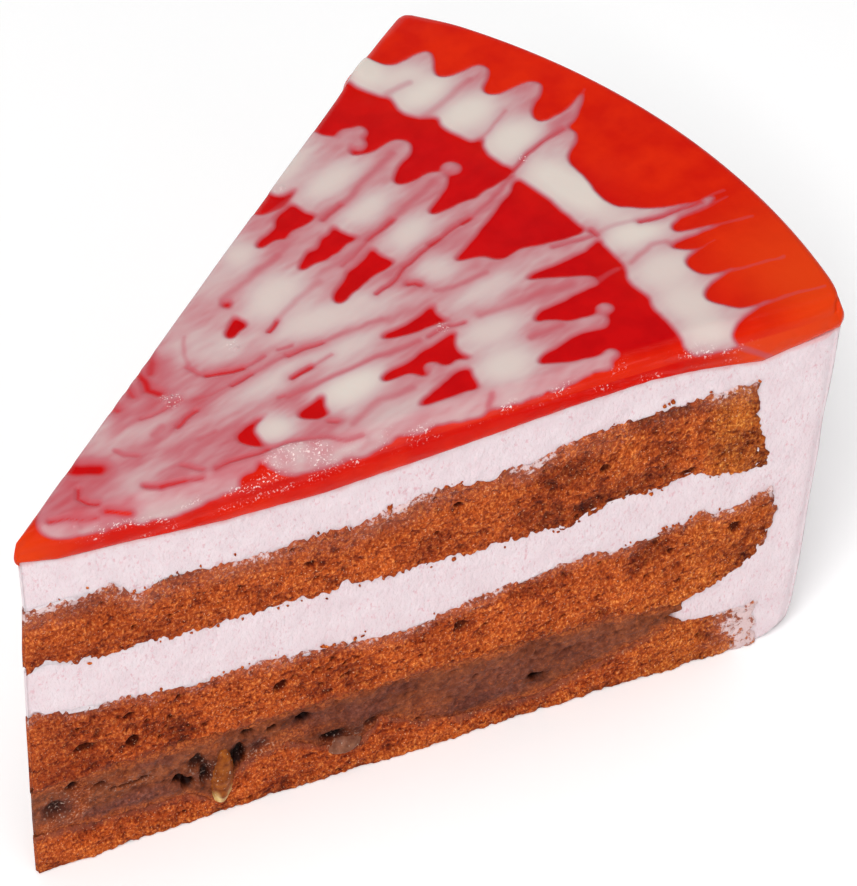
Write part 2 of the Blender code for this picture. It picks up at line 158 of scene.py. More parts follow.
def pebbles(points, size, seed):
    """Distance to the nearest of one random point per cell, in cells, and that point's own value."""
    scaled = points / size
    cell = np.floor(scaled)
    nearest = np.full(points.shape[:-1], 9.0)
    value = np.zeros(points.shape[:-1])
    for corner in np.ndindex(3, 3, 3):
        other = cell + np.array(corner) - 1
        spot = np.stack([hashed(other, seed + axis) for axis in range(3)], axis=-1)
        distance = np.linalg.norm(other + spot - scaled, axis=-1)
        closer = distance < nearest
        value = np.where(closer, hashed(other, seed + 7), value)
        nearest = np.where(closer, distance, nearest)
    return nearest, value


def waves(points, seed, table):
    """Sum of smooth noises: a table's rows give each one's height, its size and its step of the seed."""
    return sum(rise * noise(points, size, seed + step) for rise, size, step in table)


def dots(points, seed, table):
    """Round bumps or pits at random points: height, cell size, reach in cells, rarity and its spread."""
    rise, size, reach, rarity, spread = table
    away, chance = pebbles(points, size, seed)
    return rise * near_edge(away, reach) * ease((chance - rarity) / spread)


def swells(radius, share, phase):
    """Slow unevenness across the slice, between -1 and 1: two crossing sine waves."""
    first = np.sin(radius / 9.5 + 2.3 * share + phase)
    second = np.sin(2.9 * share - radius / 21.0 + 1.7 * phase)
    return 0.6 * first + 0.4 * second


def layer_height(outline, dents, swell, phase, radius, share):
    """Height of a layer's edge: as drawn at the near cut, with swells that grow behind it."""
    depth = 0.5 * (share + 1.0)
    height = along(outline, radius) + swell * ease(2.0 * depth) * swells(radius, share, phase)
    for place, rise, half_width in dents:
        spot = np.exp(-(((radius - place) / half_width) ** 2)) * np.exp(-((depth / DENT_DEPTH) ** 2))
        height = height + rise * spot
    return height


def bottom_top(radius, share):
    """The bottom sponge's top, with its notch."""
    return layer_height(SPONGE_BOTTOM_TOP, SPONGE_BOTTOM_DENTS, 0.7, 1.0, radius, share)


def middle_bottom(radius, share):
    """The middle sponge's underside, turned up at its end."""
    return layer_height(SPONGE_MIDDLE_BOTTOM, NO_DENTS, 0.6, 2.6, radius, share)


def middle_top(radius, share):
    """The middle sponge's top."""
    return layer_height(SPONGE_MIDDLE_TOP, SPONGE_MIDDLE_DENTS, 1.0, 4.1, radius, share)


def top_bottom(radius, share):
    """The top sponge's underside."""
    return layer_height(SPONGE_TOP_BOTTOM, SPONGE_UNDER_DENTS, 0.9, 5.3, radius, share)


def top_top(radius, share):
    """The top sponge's top, with its notches near the tip."""
    return layer_height(SPONGE_TOP_TOP, SPONGE_TOP_DENTS, 0.8, 6.9, radius, share)


def floor_level(radius, share):
    """The slice's level foot."""
    return 0.0 * radius * share


def outer_radius(share):
    """Distance from the tip to the cake's round outside: where a line from the tip meets its circle."""
    angle = share * HALF_ANGLE
    towards = CAKE_CENTRE[0] * np.cos(angle) + CAKE_CENTRE[1] * np.sin(angle)
    offset = CAKE_CENTRE[0] ** 2 + CAKE_CENTRE[1] ** 2
    return towards + np.sqrt(towards ** 2 - offset + CAKE_RADIUS ** 2)


def sponge_end(height, share):
    """Radius at which a sponge meets the outer wall of mousse."""
    return along(SPONGE_ENDS, height) + outer_radius(share) - outer_radius(np.array(-1.0))


def from_cut(radius, share):
    """Distance from the nearer cut, across the slice."""
    return radius * np.sin((1.0 - np.abs(share)) * HALF_ANGLE)


def placed(radius, share, height):
    """Points for radii, shares and heights: polar about the tip, with the tip's spread foot."""
    angle = share * HALF_ANGLE
    spread = along(TIP_SPREAD, height) * np.exp(-radius / TIP_SPREAD_REACH)
    x = radius * np.cos(angle) - spread - ORIGIN[0]
    y = radius * np.sin(angle) - ORIGIN[1]
    return np.stack(np.broadcast_arrays(x, y, height), axis=-1)


def glaze_underside(radius, share):
    """The glaze's underside: level inside, dragged down at both cuts and over the rim."""
    near = along(GLAZE_LOWER_EDGE, radius)
    far = GLAZE_UNDERSIDE - FAR_SAG + FAR_SAG_SWELL * np.sin(radius / 12.0 + 0.8)
    edge = np.where(share < 0, near, far)
    from_rim = outer_radius(share) - radius
    edge = edge + (along(GLAZE_LOWER_EDGE, RIM_RADIUS) - edge) * near_edge(from_rim, RIM_BLEND)
    nearness = np.maximum(near_edge(from_cut(radius, share), GLAZE_SAG_DEPTH),
                          near_edge(from_rim, RIM_SAG_DEPTH))
    return GLAZE_UNDERSIDE + (edge - GLAZE_UNDERSIDE) * nearness


def cut_outward(side):
    """Direction out of a cut: side -1 for the near cut, 1 for the far one."""
    return np.array([-math.sin(HALF_ANGLE), side * math.cos(HALF_ANGLE), 0.0])


def near_corner_outward():
    """Direction out of the slice at its near outer corner: halfway between the cut's and the wall's."""
    both = cut_outward(-1.0) + np.array([math.cos(HALF_ANGLE), -math.sin(HALF_ANGLE), 0.0])
    return both / np.linalg.norm(both)


def skin_quads(filled, shares):
    """Quads round the filled cells of a lattice, and the lattice points that they use.

    filled is indexed by column and level and holds between all shares. A quad stands wherever a
    filled cell has an empty one beside it, and its corners run so that it faces the empty side.
    """
    solid = np.zeros((shares + 1, filled.shape[0] + 2, filled.shape[1] + 2), dtype=np.int8)
    solid[1:-1, 1:-1, 1:-1] = filled
    size = (shares, filled.shape[0] + 1, filled.shape[1] + 1)
    steps = np.eye(3, dtype=int)
    quads = []
    for axis in range(3):
        change = np.diff(solid, axis=axis)
        place = np.argwhere(change)
        leaving = change[tuple(place.T)] < 0
        start = place - (1 - steps[axis])
        ahead = steps[(axis + 1) % 3]
        behind = steps[(axis + 2) % 3]
        ring = np.stack([start, start + ahead, start + ahead + behind, start + behind], axis=1)
        quad = np.ravel_multi_index(tuple(np.moveaxis(ring, -1, 0)), size)
        quad[leaving] = quad[leaving, ::-1]
        quads.append(quad)
    used, quads = np.unique(np.concatenate(quads), return_inverse=True)
    return used, quads.reshape(-1, 4)


def make_piece(name, points, face_groups, attributes, material, replaced=()):
    """A mesh piece from points in millimetres and groups of faces of one size each, riding with the slice."""
    mesh = bpy.data.meshes.new(name)
    mesh.vertices.add(len(points))
    mesh.vertices.foreach_set("co", (points * METRE).astype(np.float32).ravel())
    corners = np.concatenate([group.ravel() for group in face_groups]).astype(np.int32)
    sizes = np.concatenate([np.full(len(group), group.shape[1]) for group in face_groups])
    mesh.loops.add(len(corners))
    mesh.loops.foreach_set("vertex_index", corners)
    mesh.polygons.add(len(sizes))
    mesh.polygons.foreach_set("loop_start", (np.cumsum(sizes) - sizes).astype(np.int32))
    mesh.update(calc_edges=True)
    mesh.validate()
    for label, values in attributes.items():
        layer = mesh.attributes.new(label, "FLOAT", "POINT")
        layer.data.foreach_set("value", values.astype(np.float32).ravel())
    mesh.shade_smooth()
    mesh.materials.append(material)
    piece = bpy.data.objects.new(name, mesh)
    bpy.context.scene.collection.objects.link(piece)
    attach(piece, "root")
    if replaced:
        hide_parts(*replaced)
    return piece


def make_lattice_piece(name, lattice, filled, attributes, material, replaced):
    """A closed piece from the filled cells of a lattice of points, with values carried from the lattice."""
    used, quads = skin_quads(filled, lattice.shape[0])
    points = lattice.reshape(-1, 3)[used]
    carried = {label: values.reshape(-1)[used] for label, values in attributes.items()}
    return make_piece(name, points, [quads], carried, material, replaced)


# Materials. A pattern is a noise's (size in millimetres, detail, roughness) and its tones, each (place, grey
# or colour). Base colours are linear.


def new_material(name):
    """An empty Principled material with its node tree, shader and texture coordinates."""
    material = bpy.data.materials.new(name)
    material.use_nodes = True
    nodes = material.node_tree.nodes
    shader = nodes["Principled BSDF"]
    place = nodes.new("ShaderNodeTexCoord")
    return material, material.node_tree, shader, place.outputs["Object"]


def noise_value(tree, place, size, detail, roughness):
    """A noise texture's value, for features of a size in millimetres."""
    node = tree.nodes.new("ShaderNodeTexNoise")
    node.inputs["Scale"].default_value = 1.0 / (size * METRE)
    node.inputs["Detail"].default_value = detail
    node.inputs["Roughness"].default_value = roughness
    tree.links.new(place, node.inputs["Vector"])
    return node.outputs["Fac"]


def stretched(tree, place, scale):
    """Object coordinates squeezed along each axis, so that a pattern on them is drawn out."""
    node = tree.nodes.new("ShaderNodeMapping")
    node.inputs["Scale"].default_value = scale
    tree.links.new(place, node.inputs["Vector"])
    return node.outputs["Vector"]


def attribute(tree, label):
    """A value that the mesh carries at its points."""
    node = tree.nodes.new("ShaderNodeAttribute")
    node.attribute_name = label
    return node.outputs["Fac"]


def ramp(tree, value, stops):
    """Colours or greys along a value: stops are (place, grey or colour)."""
    node = tree.nodes.new("ShaderNodeValToRGB")
    elements = node.color_ramp.elements
    while len(elements) < len(stops):
        elements.new(0.5)
    for element, (place, colour) in zip(elements, stops):
        element.position = place
        if np.isscalar(colour):
            colour = (colour, colour, colour)
        element.color = (*colour, 1.0)
    tree.links.new(value, node.inputs["Fac"])
    return node.outputs["Color"]


def blend(tree, factor, first, second, mode="MIX"):
    """A colour mix; a factor, first or second may be a number, a colour or another node's output."""
    node = tree.nodes.new("ShaderNodeMix")
    node.data_type = "RGBA"
    node.blend_type = mode
    sockets = (node.inputs[0], node.inputs[6], node.inputs[7])
    for socket, value in zip(sockets, (factor, first, second)):
        if isinstance(value, bpy.types.NodeSocket):
            tree.links.new(value, socket)
        elif np.isscalar(value):
            socket.default_value = value
        else:
            socket.default_value = (*value, 1.0)
    return node.outputs[2]


def mottled(tree, place, pattern):
    """Tones of a pattern: a noise's size in millimetres, detail and roughness, then the tones along it."""
    grain, tones = pattern
    return ramp(tree, noise_value(tree, place, *grain), tones)


def multiplied(tree, first, second):
    """Two colours or values multiplied."""
    return blend(tree, 1.0, first, second, "MULTIPLY")


def set_levels(shader, **levels):
    """Fixed levels on the shader's own sockets; an underscore stands for a space of a socket's name."""
    for label, level in levels.items():
        shader.inputs[label.replace("_", " ")].default_value = level


def add_bump(tree, shader, place, grain, distance):
    """A bump from a noise of a size, detail and roughness, with its height in millimetres."""
    node = tree.nodes.new("ShaderNodeBump")
    node.inputs["Strength"].default_value = 1.0
    node.inputs["Distance"].default_value = distance * METRE
    tree.links.new(noise_value(tree, place, *grain), node.inputs["Height"])
    tree.links.new(node.outputs["Normal"], shader.inputs["Normal"])


SPONGE_PATCHES = ((7.0, 3.0, 0.5), ((0.32, (0.84, 0.80, 0.80)), (0.68, (1.08, 1.12, 1.12))))
# Crumb tones, partly grain colour and partly painted light: the noise is the bump's own, so raised grains are
# painted lighter and low ones darker
SPONGE_CRUMB_AND_SHADING = ((0.34, 3.0, 0.62), (
    (0.32, (0.190, 0.022, 0.004)), (0.44, (0.390, 0.055, 0.008)), (0.55, (0.530, 0.090, 0.014)),
    (0.68, (0.800, 0.240, 0.056))))
# Darker patches painted as the shade in hollows and pores of the crumb
SPONGE_HOLLOW_SHADE = ((1.1, 3.0, 0.7), (
    (0.34, (0.40, 0.26, 0.24)), (0.45, (0.96, 0.94, 0.94)), (0.62, (1.10, 1.16, 1.14))))
SPONGE_FLECKS = ((0.42, 2.0, 0.7), ((0.58, 0.0), (0.66, 1.0)))
# Painted highlights: tiny pale specks standing in for glints of light on the crumb
SPONGE_GLINTS = ((0.24, 1.0, 0.5), ((0.69, 0.0), (0.75, 0.7)))
# Painted shade in pits and painted light on raised places, by how far the crumb stands out of the cut
SPONGE_RELIEF_SHADE = ((0.10, (0.20, 0.14, 0.14)), (0.40, (0.70, 0.60, 0.60)), (0.52, (1.0, 1.0, 1.0)),
                (0.75, (1.12, 1.2, 1.25)))
SPONGE_BUMP = (0.34, 3.0, 0.65)
GOLDEN_TINT = (1.04, 1.42, 1.25)
SOAKED_CRUMB = (0.20, 0.055, 0.034)
MOUSSE_FILM = (0.36, 0.13, 0.095)
FILM_STRENGTH = 0.42
MOUSSE_SPECKLE = (0.62, 0.38, 0.34)
MOUSSE_SMEAR = (0.76, 0.58, 0.58)
WORN_GRAIN = (0.9, 3.0, 0.65)
WORN_TONES = ((0.38, 0.0), (0.47, 0.95))
# Colour of the painted highlights on the crumb
CRUMB_GLINT = (0.86, 0.50, 0.30)
DARK_END = (0.48, 0.32, 0.30)


def sponge_material():
    """Chocolate sponge: crumb painted lighter on raised grains and darker in pores and pits as shade, painted
    highlights, smears of mousse and soaked edges.
    """
    material, tree, shader, place = new_material("sponge")
    upright = stretched(tree, place, (1.0, 1.0, 0.72))
    flat = stretched(tree, place, (0.75, 0.75, 1.25))
    patches = mottled(tree, place, SPONGE_PATCHES)
    # Crumb tones with painted light on raised grains, times the painted shade of hollows
    crumb = multiplied(tree, mottled(tree, upright, SPONGE_CRUMB_AND_SHADING), mottled(tree, flat, SPONGE_HOLLOW_SHADE))
    tinted = multiplied(tree, crumb, patches)
    golden = blend(tree, attribute(tree, "golden"), tinted, multiplied(tree, tinted, GOLDEN_TINT))
    # Painted shade and light from the crumb's relief
    shaded = multiplied(tree, golden, ramp(tree, attribute(tree, "relief"), SPONGE_RELIEF_SHADE))
    soaked = blend(tree, attribute(tree, "soak"), shaded, SOAKED_CRUMB)
    film = blend(tree, FILM_STRENGTH, shaded, MOUSSE_FILM)
    filmed = blend(tree, attribute(tree, "smear"), soaked, film)
    flecks = multiplied(tree, attribute(tree, "smear"), mottled(tree, place, SPONGE_FLECKS))
    speckled = blend(tree, flecks, filmed, MOUSSE_SPECKLE)
    worn = multiplied(tree, noise_value(tree, place, *WORN_GRAIN), attribute(tree, "smear"))
    smeared = blend(tree, ramp(tree, worn, WORN_TONES), speckled, MOUSSE_SMEAR)
    # Painted highlights mixed into the crumb's colour
    glinting = blend(tree, mottled(tree, place, SPONGE_GLINTS), smeared, CRUMB_GLINT)
    dark_end = multiplied(tree, glinting, DARK_END)
    tree.links.new(blend(tree, attribute(tree, "dark"), glinting, dark_end), shader.inputs["Base Color"])
    set_levels(shader, Roughness=0.62, Specular_IOR_Level=0.08)
    add_bump(tree, shader, upright, SPONGE_BUMP, 0.17)
    return material


FUDGE_WARM = ((0.9, 4.0, 0.65), (
    (0.32, (0.110, 0.024, 0.009)), (0.50, (0.220, 0.053, 0.019)), (0.66, (0.34, 0.094, 0.034))))
FUDGE_BLUISH = ((0.6, 3.0, 0.65), (
    (0.34, (0.080, 0.020, 0.014)), (0.52, (0.165, 0.044, 0.028)), (0.68, (0.28, 0.092, 0.062))))
FUDGE_CRUMB = ((0.34, 2.0, 0.65), (
    (0.36, (0.17, 0.026, 0.008)), (0.52, (0.38, 0.072, 0.016)), (0.68, (0.62, 0.170, 0.040))))
FUDGE_FLECKS = ((0.45, 2.0, 0.65), ((0.60, 0.0), (0.68, 0.55)))
# Painted highlights: pale specks standing in for glints on the wet filling
FUDGE_GLINT_SPECKS = ((0.34, 2.0, 0.55), ((0.60, 0.0), (0.68, 0.9)))
FUDGE_GLOSS = ((1.1, 2.0, 0.5), ((0.38, 0.30), (0.60, 0.55)))
# Painted shade in pits and painted light on lumps, by how far the filling stands out of the cut
FUDGE_RELIEF_SHADE = ((0.02, (0.08, 0.05, 0.05)), (0.34, (0.72, 0.66, 0.66)), (0.50, (1.0, 1.0, 1.0)),
               (0.85, (1.12, 1.15, 1.15)))
FUDGE_BUMP = (0.5, 2.0, 0.65)
# Darkening of the dark spots: partly darker fudge, partly painted shade in slits and hollows
FUDGE_DEEP = (0.30, 0.22, 0.22)
# Colour of the painted highlights on the filling
FUDGE_GLINT = (0.46, 0.31, 0.25)


def filling_material():
    """Moist dark chocolate filling: brown fudge with bluish and dark parts, the dark ones partly painted
    shade, mixed-in crumb, painted shade in pits, and painted highlights at wet places.
    """
    material, tree, shader, place = new_material("filling")
    warm, bluish = mottled(tree, place, FUDGE_WARM), mottled(tree, place, FUDGE_BLUISH)
    fudge = blend(tree, attribute(tree, "cool"), warm, bluish)
    crumbs = blend(tree, 1.0, mottled(tree, place, FUDGE_FLECKS), attribute(tree, "crumb"), "LIGHTEN")
    mixed = blend(tree, crumbs, fudge, mottled(tree, place, FUDGE_CRUMB))
    # Darker where the dark value is high: partly darker fudge, partly painted shade in slits and hollows
    shaded = blend(tree, attribute(tree, "dark"), mixed, multiplied(tree, mixed, FUDGE_DEEP))
    # Painted shade and light from the filling's relief
    pitted = multiplied(tree, shaded, ramp(tree, attribute(tree, "relief"), FUDGE_RELIEF_SHADE))
    # Painted highlights where the filling is wet
    glints = multiplied(tree, mottled(tree, place, FUDGE_GLINT_SPECKS), attribute(tree, "wet"))
    tree.links.new(blend(tree, glints, pitted, FUDGE_GLINT), shader.inputs["Base Color"])
    tree.links.new(mottled(tree, place, FUDGE_GLOSS), shader.inputs["Roughness"])
    set_levels(shader, Specular_IOR_Level=0.08)
    add_bump(tree, shader, place, FUDGE_BUMP, 0.22)
    return material


FOAM_BASE = ((3.0, 3.0, 0.5), ((0.3, (0.800, 0.655, 0.690)), (0.7, (0.850, 0.725, 0.755))))
FOAM_SPECK_AND_PIT_PATTERN = ((0.42, 2.0, 0.6), ((0.56, 0.0), (0.70, 0.85)))
FOAM_SOME = ((3.2, 2.0, 0.5), ((0.40, 0.25), (0.62, 1.0)))
FOAM_BUMP = (0.48, 3.0, 0.6)
FOAM_SPECK_AND_PIT_SHADE = (0.74, 0.44, 0.49)
FOAM_STAIN = (0.80, 0.36, 0.37)


def mousse_material():
    """Pale pink mousse: a soft translucent foam with fine bubbles and darker pink specks at the cuts, partly
    speck colour and partly painted shade of small pits.
    """
    material, tree, shader, place = new_material("mousse")
    upright = stretched(tree, place, (1.0, 1.0, 0.55))
    # Specks on the cut faces: darker pink, partly speck colour and partly painted shade of small pits
    marks = multiplied(tree, mottled(tree, upright, FOAM_SPECK_AND_PIT_PATTERN), mottled(tree, place, FOAM_SOME))
    specks = multiplied(tree, marks, attribute(tree, "cut"))
    foam = blend(tree, specks, mottled(tree, place, FOAM_BASE), FOAM_SPECK_AND_PIT_SHADE)
    tree.links.new(blend(tree, attribute(tree, "stain"), foam, FOAM_STAIN), shader.inputs["Base Color"])
    set_levels(shader, Roughness=0.6, Specular_IOR_Level=0.2, Subsurface_Weight=0.25,
               Subsurface_Radius=(1.0, 0.7, 0.7), Subsurface_Scale=0.8 * METRE)
    add_bump(tree, shader, upright, FOAM_BUMP, 0.22)
    return material


JELLY_DEEP = ((3.2, 3.0, 0.5), ((0.35, (0.50, 0.0010, 0.0026)), (0.65, (0.58, 0.0018, 0.0030))))
JELLY_THIN = ((5.0, 3.0, 0.5), ((0.35, (0.62, 0.0085, 0.0010)), (0.65, (0.72, 0.0190, 0.0016))))
# Painted highlights: pale specks standing in for glints on the wet jelly and icing
JELLY_GLINT_SPECKS = ((0.30, 2.0, 0.55), ((0.58, 0.0), (0.66, 1.0)))
JELLY_ORANGE = (0.72, 0.046, 0.0050)
# Colour of the painted highlights on the glaze
JELLY_GLINT = (0.93, 0.80, 0.78)
JELLY_BUMP = (2.4, 3.0, 0.5)
WET_COAT = (0.45, 0.45, 0.45)
# Icing: where its cover counts as laid and as thick, and its tones from a pink film to thick white
ICING_LAID = ((0.26, 0.0), (0.40, 0.55), (0.52, 1.0))
ICING_THICK = ((0.50, 0.0), (0.95, 1.0))
ICING_TONES = ((0.0, (0.52, 0.085, 0.105)), (0.20, (0.53, 0.165, 0.190)), (0.42, (0.565, 0.29, 0.305)),
               (0.68, (0.605, 0.43, 0.425)), (0.97, (0.71, 0.62, 0.56)))


def glaze_material():
    """Red jelly with pale icing drawn through it: cover says where it lies, white how thick it is, and glint
    where pale specks are painted as highlights.
    """
    material, tree, shader, place = new_material("glaze")
    warm = blend(tree, attribute(tree, "orange"), mottled(tree, place, JELLY_THIN), JELLY_ORANGE)
    jelly = blend(tree, attribute(tree, "thin"), mottled(tree, place, JELLY_DEEP), warm)
    cover = attribute(tree, "cover")
    white = multiplied(tree, attribute(tree, "white"), ramp(tree, cover, ICING_THICK))
    iced = blend(tree, ramp(tree, cover, ICING_LAID), jelly, ramp(tree, white, ICING_TONES))
    # Painted highlights where the glint value is high
    glints = multiplied(tree, mottled(tree, place, JELLY_GLINT_SPECKS), attribute(tree, "glint"))
    tree.links.new(blend(tree, glints, iced, JELLY_GLINT), shader.inputs["Base Color"])
    tree.links.new(multiplied(tree, attribute(tree, "wet"), WET_COAT), shader.inputs["Coat Weight"])
    set_levels(shader, Roughness=0.22, Specular_IOR_Level=0.07, Coat_Roughness=0.06, Subsurface_Weight=0.10,
               Subsurface_Radius=(1.0, 0.2, 0.2), Subsurface_Scale=0.6 * METRE)
    add_bump(tree, shader, place, JELLY_BUMP, 0.05)
    return material


NUT_GRAIN = (0.9, 3.0, 0.5)
NUT_BROWN = ((0.3, (0.150, 0.026, 0.006)), (0.7, (0.400, 0.110, 0.016)))
# Pale flesh at the nut's lower end: its own colour, painted lighter to make up for the shade it lies in
NUT_PALE = ((0.3, (0.58, 0.34, 0.090)), (0.7, (0.90, 0.70, 0.32)))
NUT_SOAKED = ((0.3, (0.120, 0.040, 0.026)), (0.7, (0.270, 0.110, 0.070)))
# Painted highlights: pale specks standing in for glints on the nut
NUT_GLINT_SPECKS = ((0.30, 1.0, 0.5), ((0.70, 0.0), (0.76, 0.7)))
NUT_GLINT = (0.88, 0.78, 0.62)
NUT_BUMP = (0.5, 2.0, 0.5)


def nut_material():
    """Moist chopped nut: brown skin and pale flesh, the flesh painted lighter against the shade it lies in,
    or soaked dark by the filling, with painted highlights.
    """
    material, tree, shader, place = new_material("nut")
    grain = noise_value(tree, place, *NUT_GRAIN)
    fresh = blend(tree, attribute(tree, "pale"), ramp(tree, grain, NUT_BROWN), ramp(tree, grain, NUT_PALE))
    nut = blend(tree, attribute(tree, "soaked"), fresh, ramp(tree, grain, NUT_SOAKED))
    # Painted highlights mixed into the nut's colour
    glinting = blend(tree, mottled(tree, place, NUT_GLINT_SPECKS), nut, NUT_GLINT)
    tree.links.new(glinting, shader.inputs["Base Color"])
    set_levels(shader, Roughness=0.30, Specular_IOR_Level=0.06)
    add_bump(tree, shader, place, NUT_BUMP, 0.10)
    return material


# Sponges and filling


# Noises are (height, size, step of the seed); pits are (height, size, reach, rarity and its spread)
CRUMB_WAVES = ((0.24, 6.0, 0), (0.16, 2.4, 1), (0.16, 0.46, 3), (0.12, 1.1, 5))
CRUMB_PITS = (-0.8, 1.7, 0.30, 0.62, 0.35)
CRUMB_PIT_SQUASH = np.array([1.0, 1.0, 1.3])
CRUMB_GRAIN = 0.95
RAGGED_WAVES = ((0.42, 2.3, 0), (0.44, 0.85, 1), (0.42, 0.42, 2))
RAGGED_SPAN = 60.0
END_WAVES = ((0.55, 3.4, 40), (0.55, 1.3, 41), (0.35, 0.6, 42))
END_SPAN = 40.0
SPONGE_SHARES = (-1, -0.97, -0.7, -0.35, 0, 0.35, 0.7, 0.97, 1)
SPONGE_COLUMNS = 540
SPONGE_ROW = 0.205
INNER_SHRINK = 1.1
SPOT_STRENGTH = 0.75
RELIEF_MIDDLE = 0.5
CRUMB_RELIEF_GAIN = 0.9


def crumb_relief(points, seed):
    """Torn crumb: broad unevenness, lumps, fine grain and pits, as height out of the cut."""
    away, value = pebbles(points, CRUMB_GRAIN, seed + 2)
    grains = 0.15 * (0.62 - away) + 0.10 * (value - 0.5)
    return waves(points, seed, CRUMB_WAVES) + grains + dots(points * CRUMB_PIT_SQUASH, seed + 4, CRUMB_PITS)


def spots_relief(radius, height, spots):
    """Named pits at the near cut: (radius, height, half width, half height, depth)."""
    relief = 0.0 * radius * height
    for place, level, half_width, half_height, depth in spots:
        away = ((radius - place) / half_width) ** 2 + ((height - level) / half_height) ** 2
        relief = relief - depth * np.exp(-away ** 2)
    return relief


def ragged(radius, share, seed):
    """Torn edge of a sponge, as a shift of its height: large and small noise along the edge."""
    points = np.stack(np.broadcast_arrays(radius, RAGGED_SPAN * share, 0.0 * radius + seed), axis=-1)
    return waves(points, seed, RAGGED_WAVES)


def layer_grid(low, high, shares, columns, rows, end_radius):
    """Radius, share, height and part of a layer's lattice: rows part the layer evenly from low to high."""
    share = np.array(shares)[:, None, None]
    part = np.linspace(0.0, 1.0, rows)[None, None, :]
    reach = np.linspace(0.0, 1.0, columns)[None, :, None]
    guess = np.full((1, 1, 1), END_GUESS)
    level = low(guess, share) + part * (high(guess, share) - low(guess, share))
    end = end_radius(level, share)
    radius = TIP_BLUNT + reach * (end - TIP_BLUNT)
    height = low(radius, share) + part * (high(radius, share) - low(radius, share))
    return radius, share + 0.0 * height, height, part + 0.0 * height


def make_sponge(name, low, high, low_turn, high_turn, seed, spots, tones, material):
    """A sponge: its lattice between two edges, with torn crumb out of both cuts.

    An edge with a turn is ragged and dives at the cuts; between them it shrinks back from the mousse.
    """
    def torn(edge, turn, step, inward):
        """An edge shifted by ragged noise at the cuts, and inward by INNER_SHRINK between them."""
        def level(radius, share):
            inner = (np.abs(share) < 0.99) * (turn > 0)
            rough = turn * ragged(radius, share, seed + step) * (1 - inner)
            return edge(radius, share) + rough + inward * INNER_SHRINK * inner
        return level

    def torn_end(height, share):
        """The outer end: rough at the cuts, where lumps of crumb stand out and are missing."""
        places = np.stack(np.broadcast_arrays(0.0 * height + seed, END_SPAN * share, height), axis=-1)
        return sponge_end(height, share) + waves(places, seed, END_WAVES) * at_cuts(share, SPONGE_CUT)

    torn_low = torn(low, low_turn, 20, 1.0)
    torn_high = torn(high, high_turn, 30, -1.0)
    along_cut = np.arange(5.0, 90.0)
    rows = int(float(np.mean(high(along_cut, -1.0) - low(along_cut, -1.0))) / SPONGE_ROW)
    radius, share, height, _ = layer_grid(torn_low, torn_high, SPONGE_SHARES, SPONGE_COLUMNS, rows, torn_end)
    points = placed(radius, share, height)
    to_low = height - torn_low(radius, share)
    to_high = torn_high(radius, share) - height
    to_end = torn_end(height, share) - radius
    relief = np.full(radius.shape, RELIEF_MIDDLE)
    for index, side in ((0, -1.0), (-1, 1.0)):
        face = points[index]
        calm = ease(radius[index] / TIP_CALM)
        out = crumb_relief(face, seed) * calm
        if side < 0:
            out = out + SPOT_STRENGTH * spots_relief(radius[index], height[index], spots)
        relief[index] = RELIEF_MIDDLE + CRUMB_RELIEF_GAIN * out
        edge = to_end[index]
        edge = np.where(low_turn > 0, np.minimum(edge, to_low[index]), edge)
        edge = np.where(high_turn > 0, np.minimum(edge, to_high[index]), edge)
        dive = EDGE_DIVE * (1.0 - np.sqrt(ease(edge / EDGE_TURN))) * calm
        points[index] = face + (SPONGE_SET + out - dive)[..., None] * cut_outward(side)
    attributes = {"relief": relief, **tones(radius, to_low, to_high, to_end, points)}
    filled = np.ones((SPONGE_COLUMNS - 1, rows - 1), dtype=bool)
    return make_lattice_piece(name + "_crumb", points, filled, attributes, material, (name,))


def bottom_tones(radius, to_low, to_high, to_end, points):
    """The bottom sponge: soaked under the filling, golden at its base and outer end."""
    under_filling = ease((FILLING_END + 1 - radius) / 2.0)
    soak = 0.75 * near_edge(to_high + 0.7 * noise(points, 1.4, 61), 1.7) * under_filling
    golden = 0.35 * near_edge(to_low, 3.0) + 0.45 * ease((radius - 72.0) / 18.0)
    smear = near_edge(to_end - 2.0 + 2.0 * noise(points, 2.2, 66), 7.0)
    smear = smear + 0.5 * near_edge(to_high, 1.0) * ease((radius - FILLING_END) / 2.0)
    return {"soak": soak, "golden": golden, "smear": np.clip(smear, 0, 1), "dark": 0.0 * radius}


def tip_darkness(radius, points):
    """How much darker, in patches, a sponge is towards the tip."""
    return 0.45 * ease((34.0 - radius) / 24.0) * ease(0.5 + noise(points, 3.0, 72))


def middle_tones(radius, to_low, to_high, to_end, points):
    """The middle sponge: soaked at the filling, smeared with mousse along its top and end."""
    over_filling = ease((FILLING_END + 1 - radius) / 2.0)
    soak = 0.6 * near_edge(to_low + 0.6 * noise(points, 1.6, 62), 1.3) * over_filling
    golden = 0.35 * ease((radius - 70.0) / 25.0) + 0.2 * near_edge(to_low, 5.0) * ease((radius - 30.0) / 20.0)
    smear = 0.75 * near_edge(to_high + 0.8 * noise(points, 3.0, 63), 2.4)
    smear = np.clip(smear + 0.8 * near_edge(to_end + 0.8 * noise(points, 1.5, 67), 1.6), 0, 1)
    dark = 0.8 * ease((noise(points, 1.8, 68) - 0.15) / 0.4) * near_edge(to_end, 12.0) * ease(radius / 20.0)
    dark = np.maximum(dark, tip_darkness(radius, points))
    return {"soak": soak, "golden": golden, "smear": smear, "dark": dark}


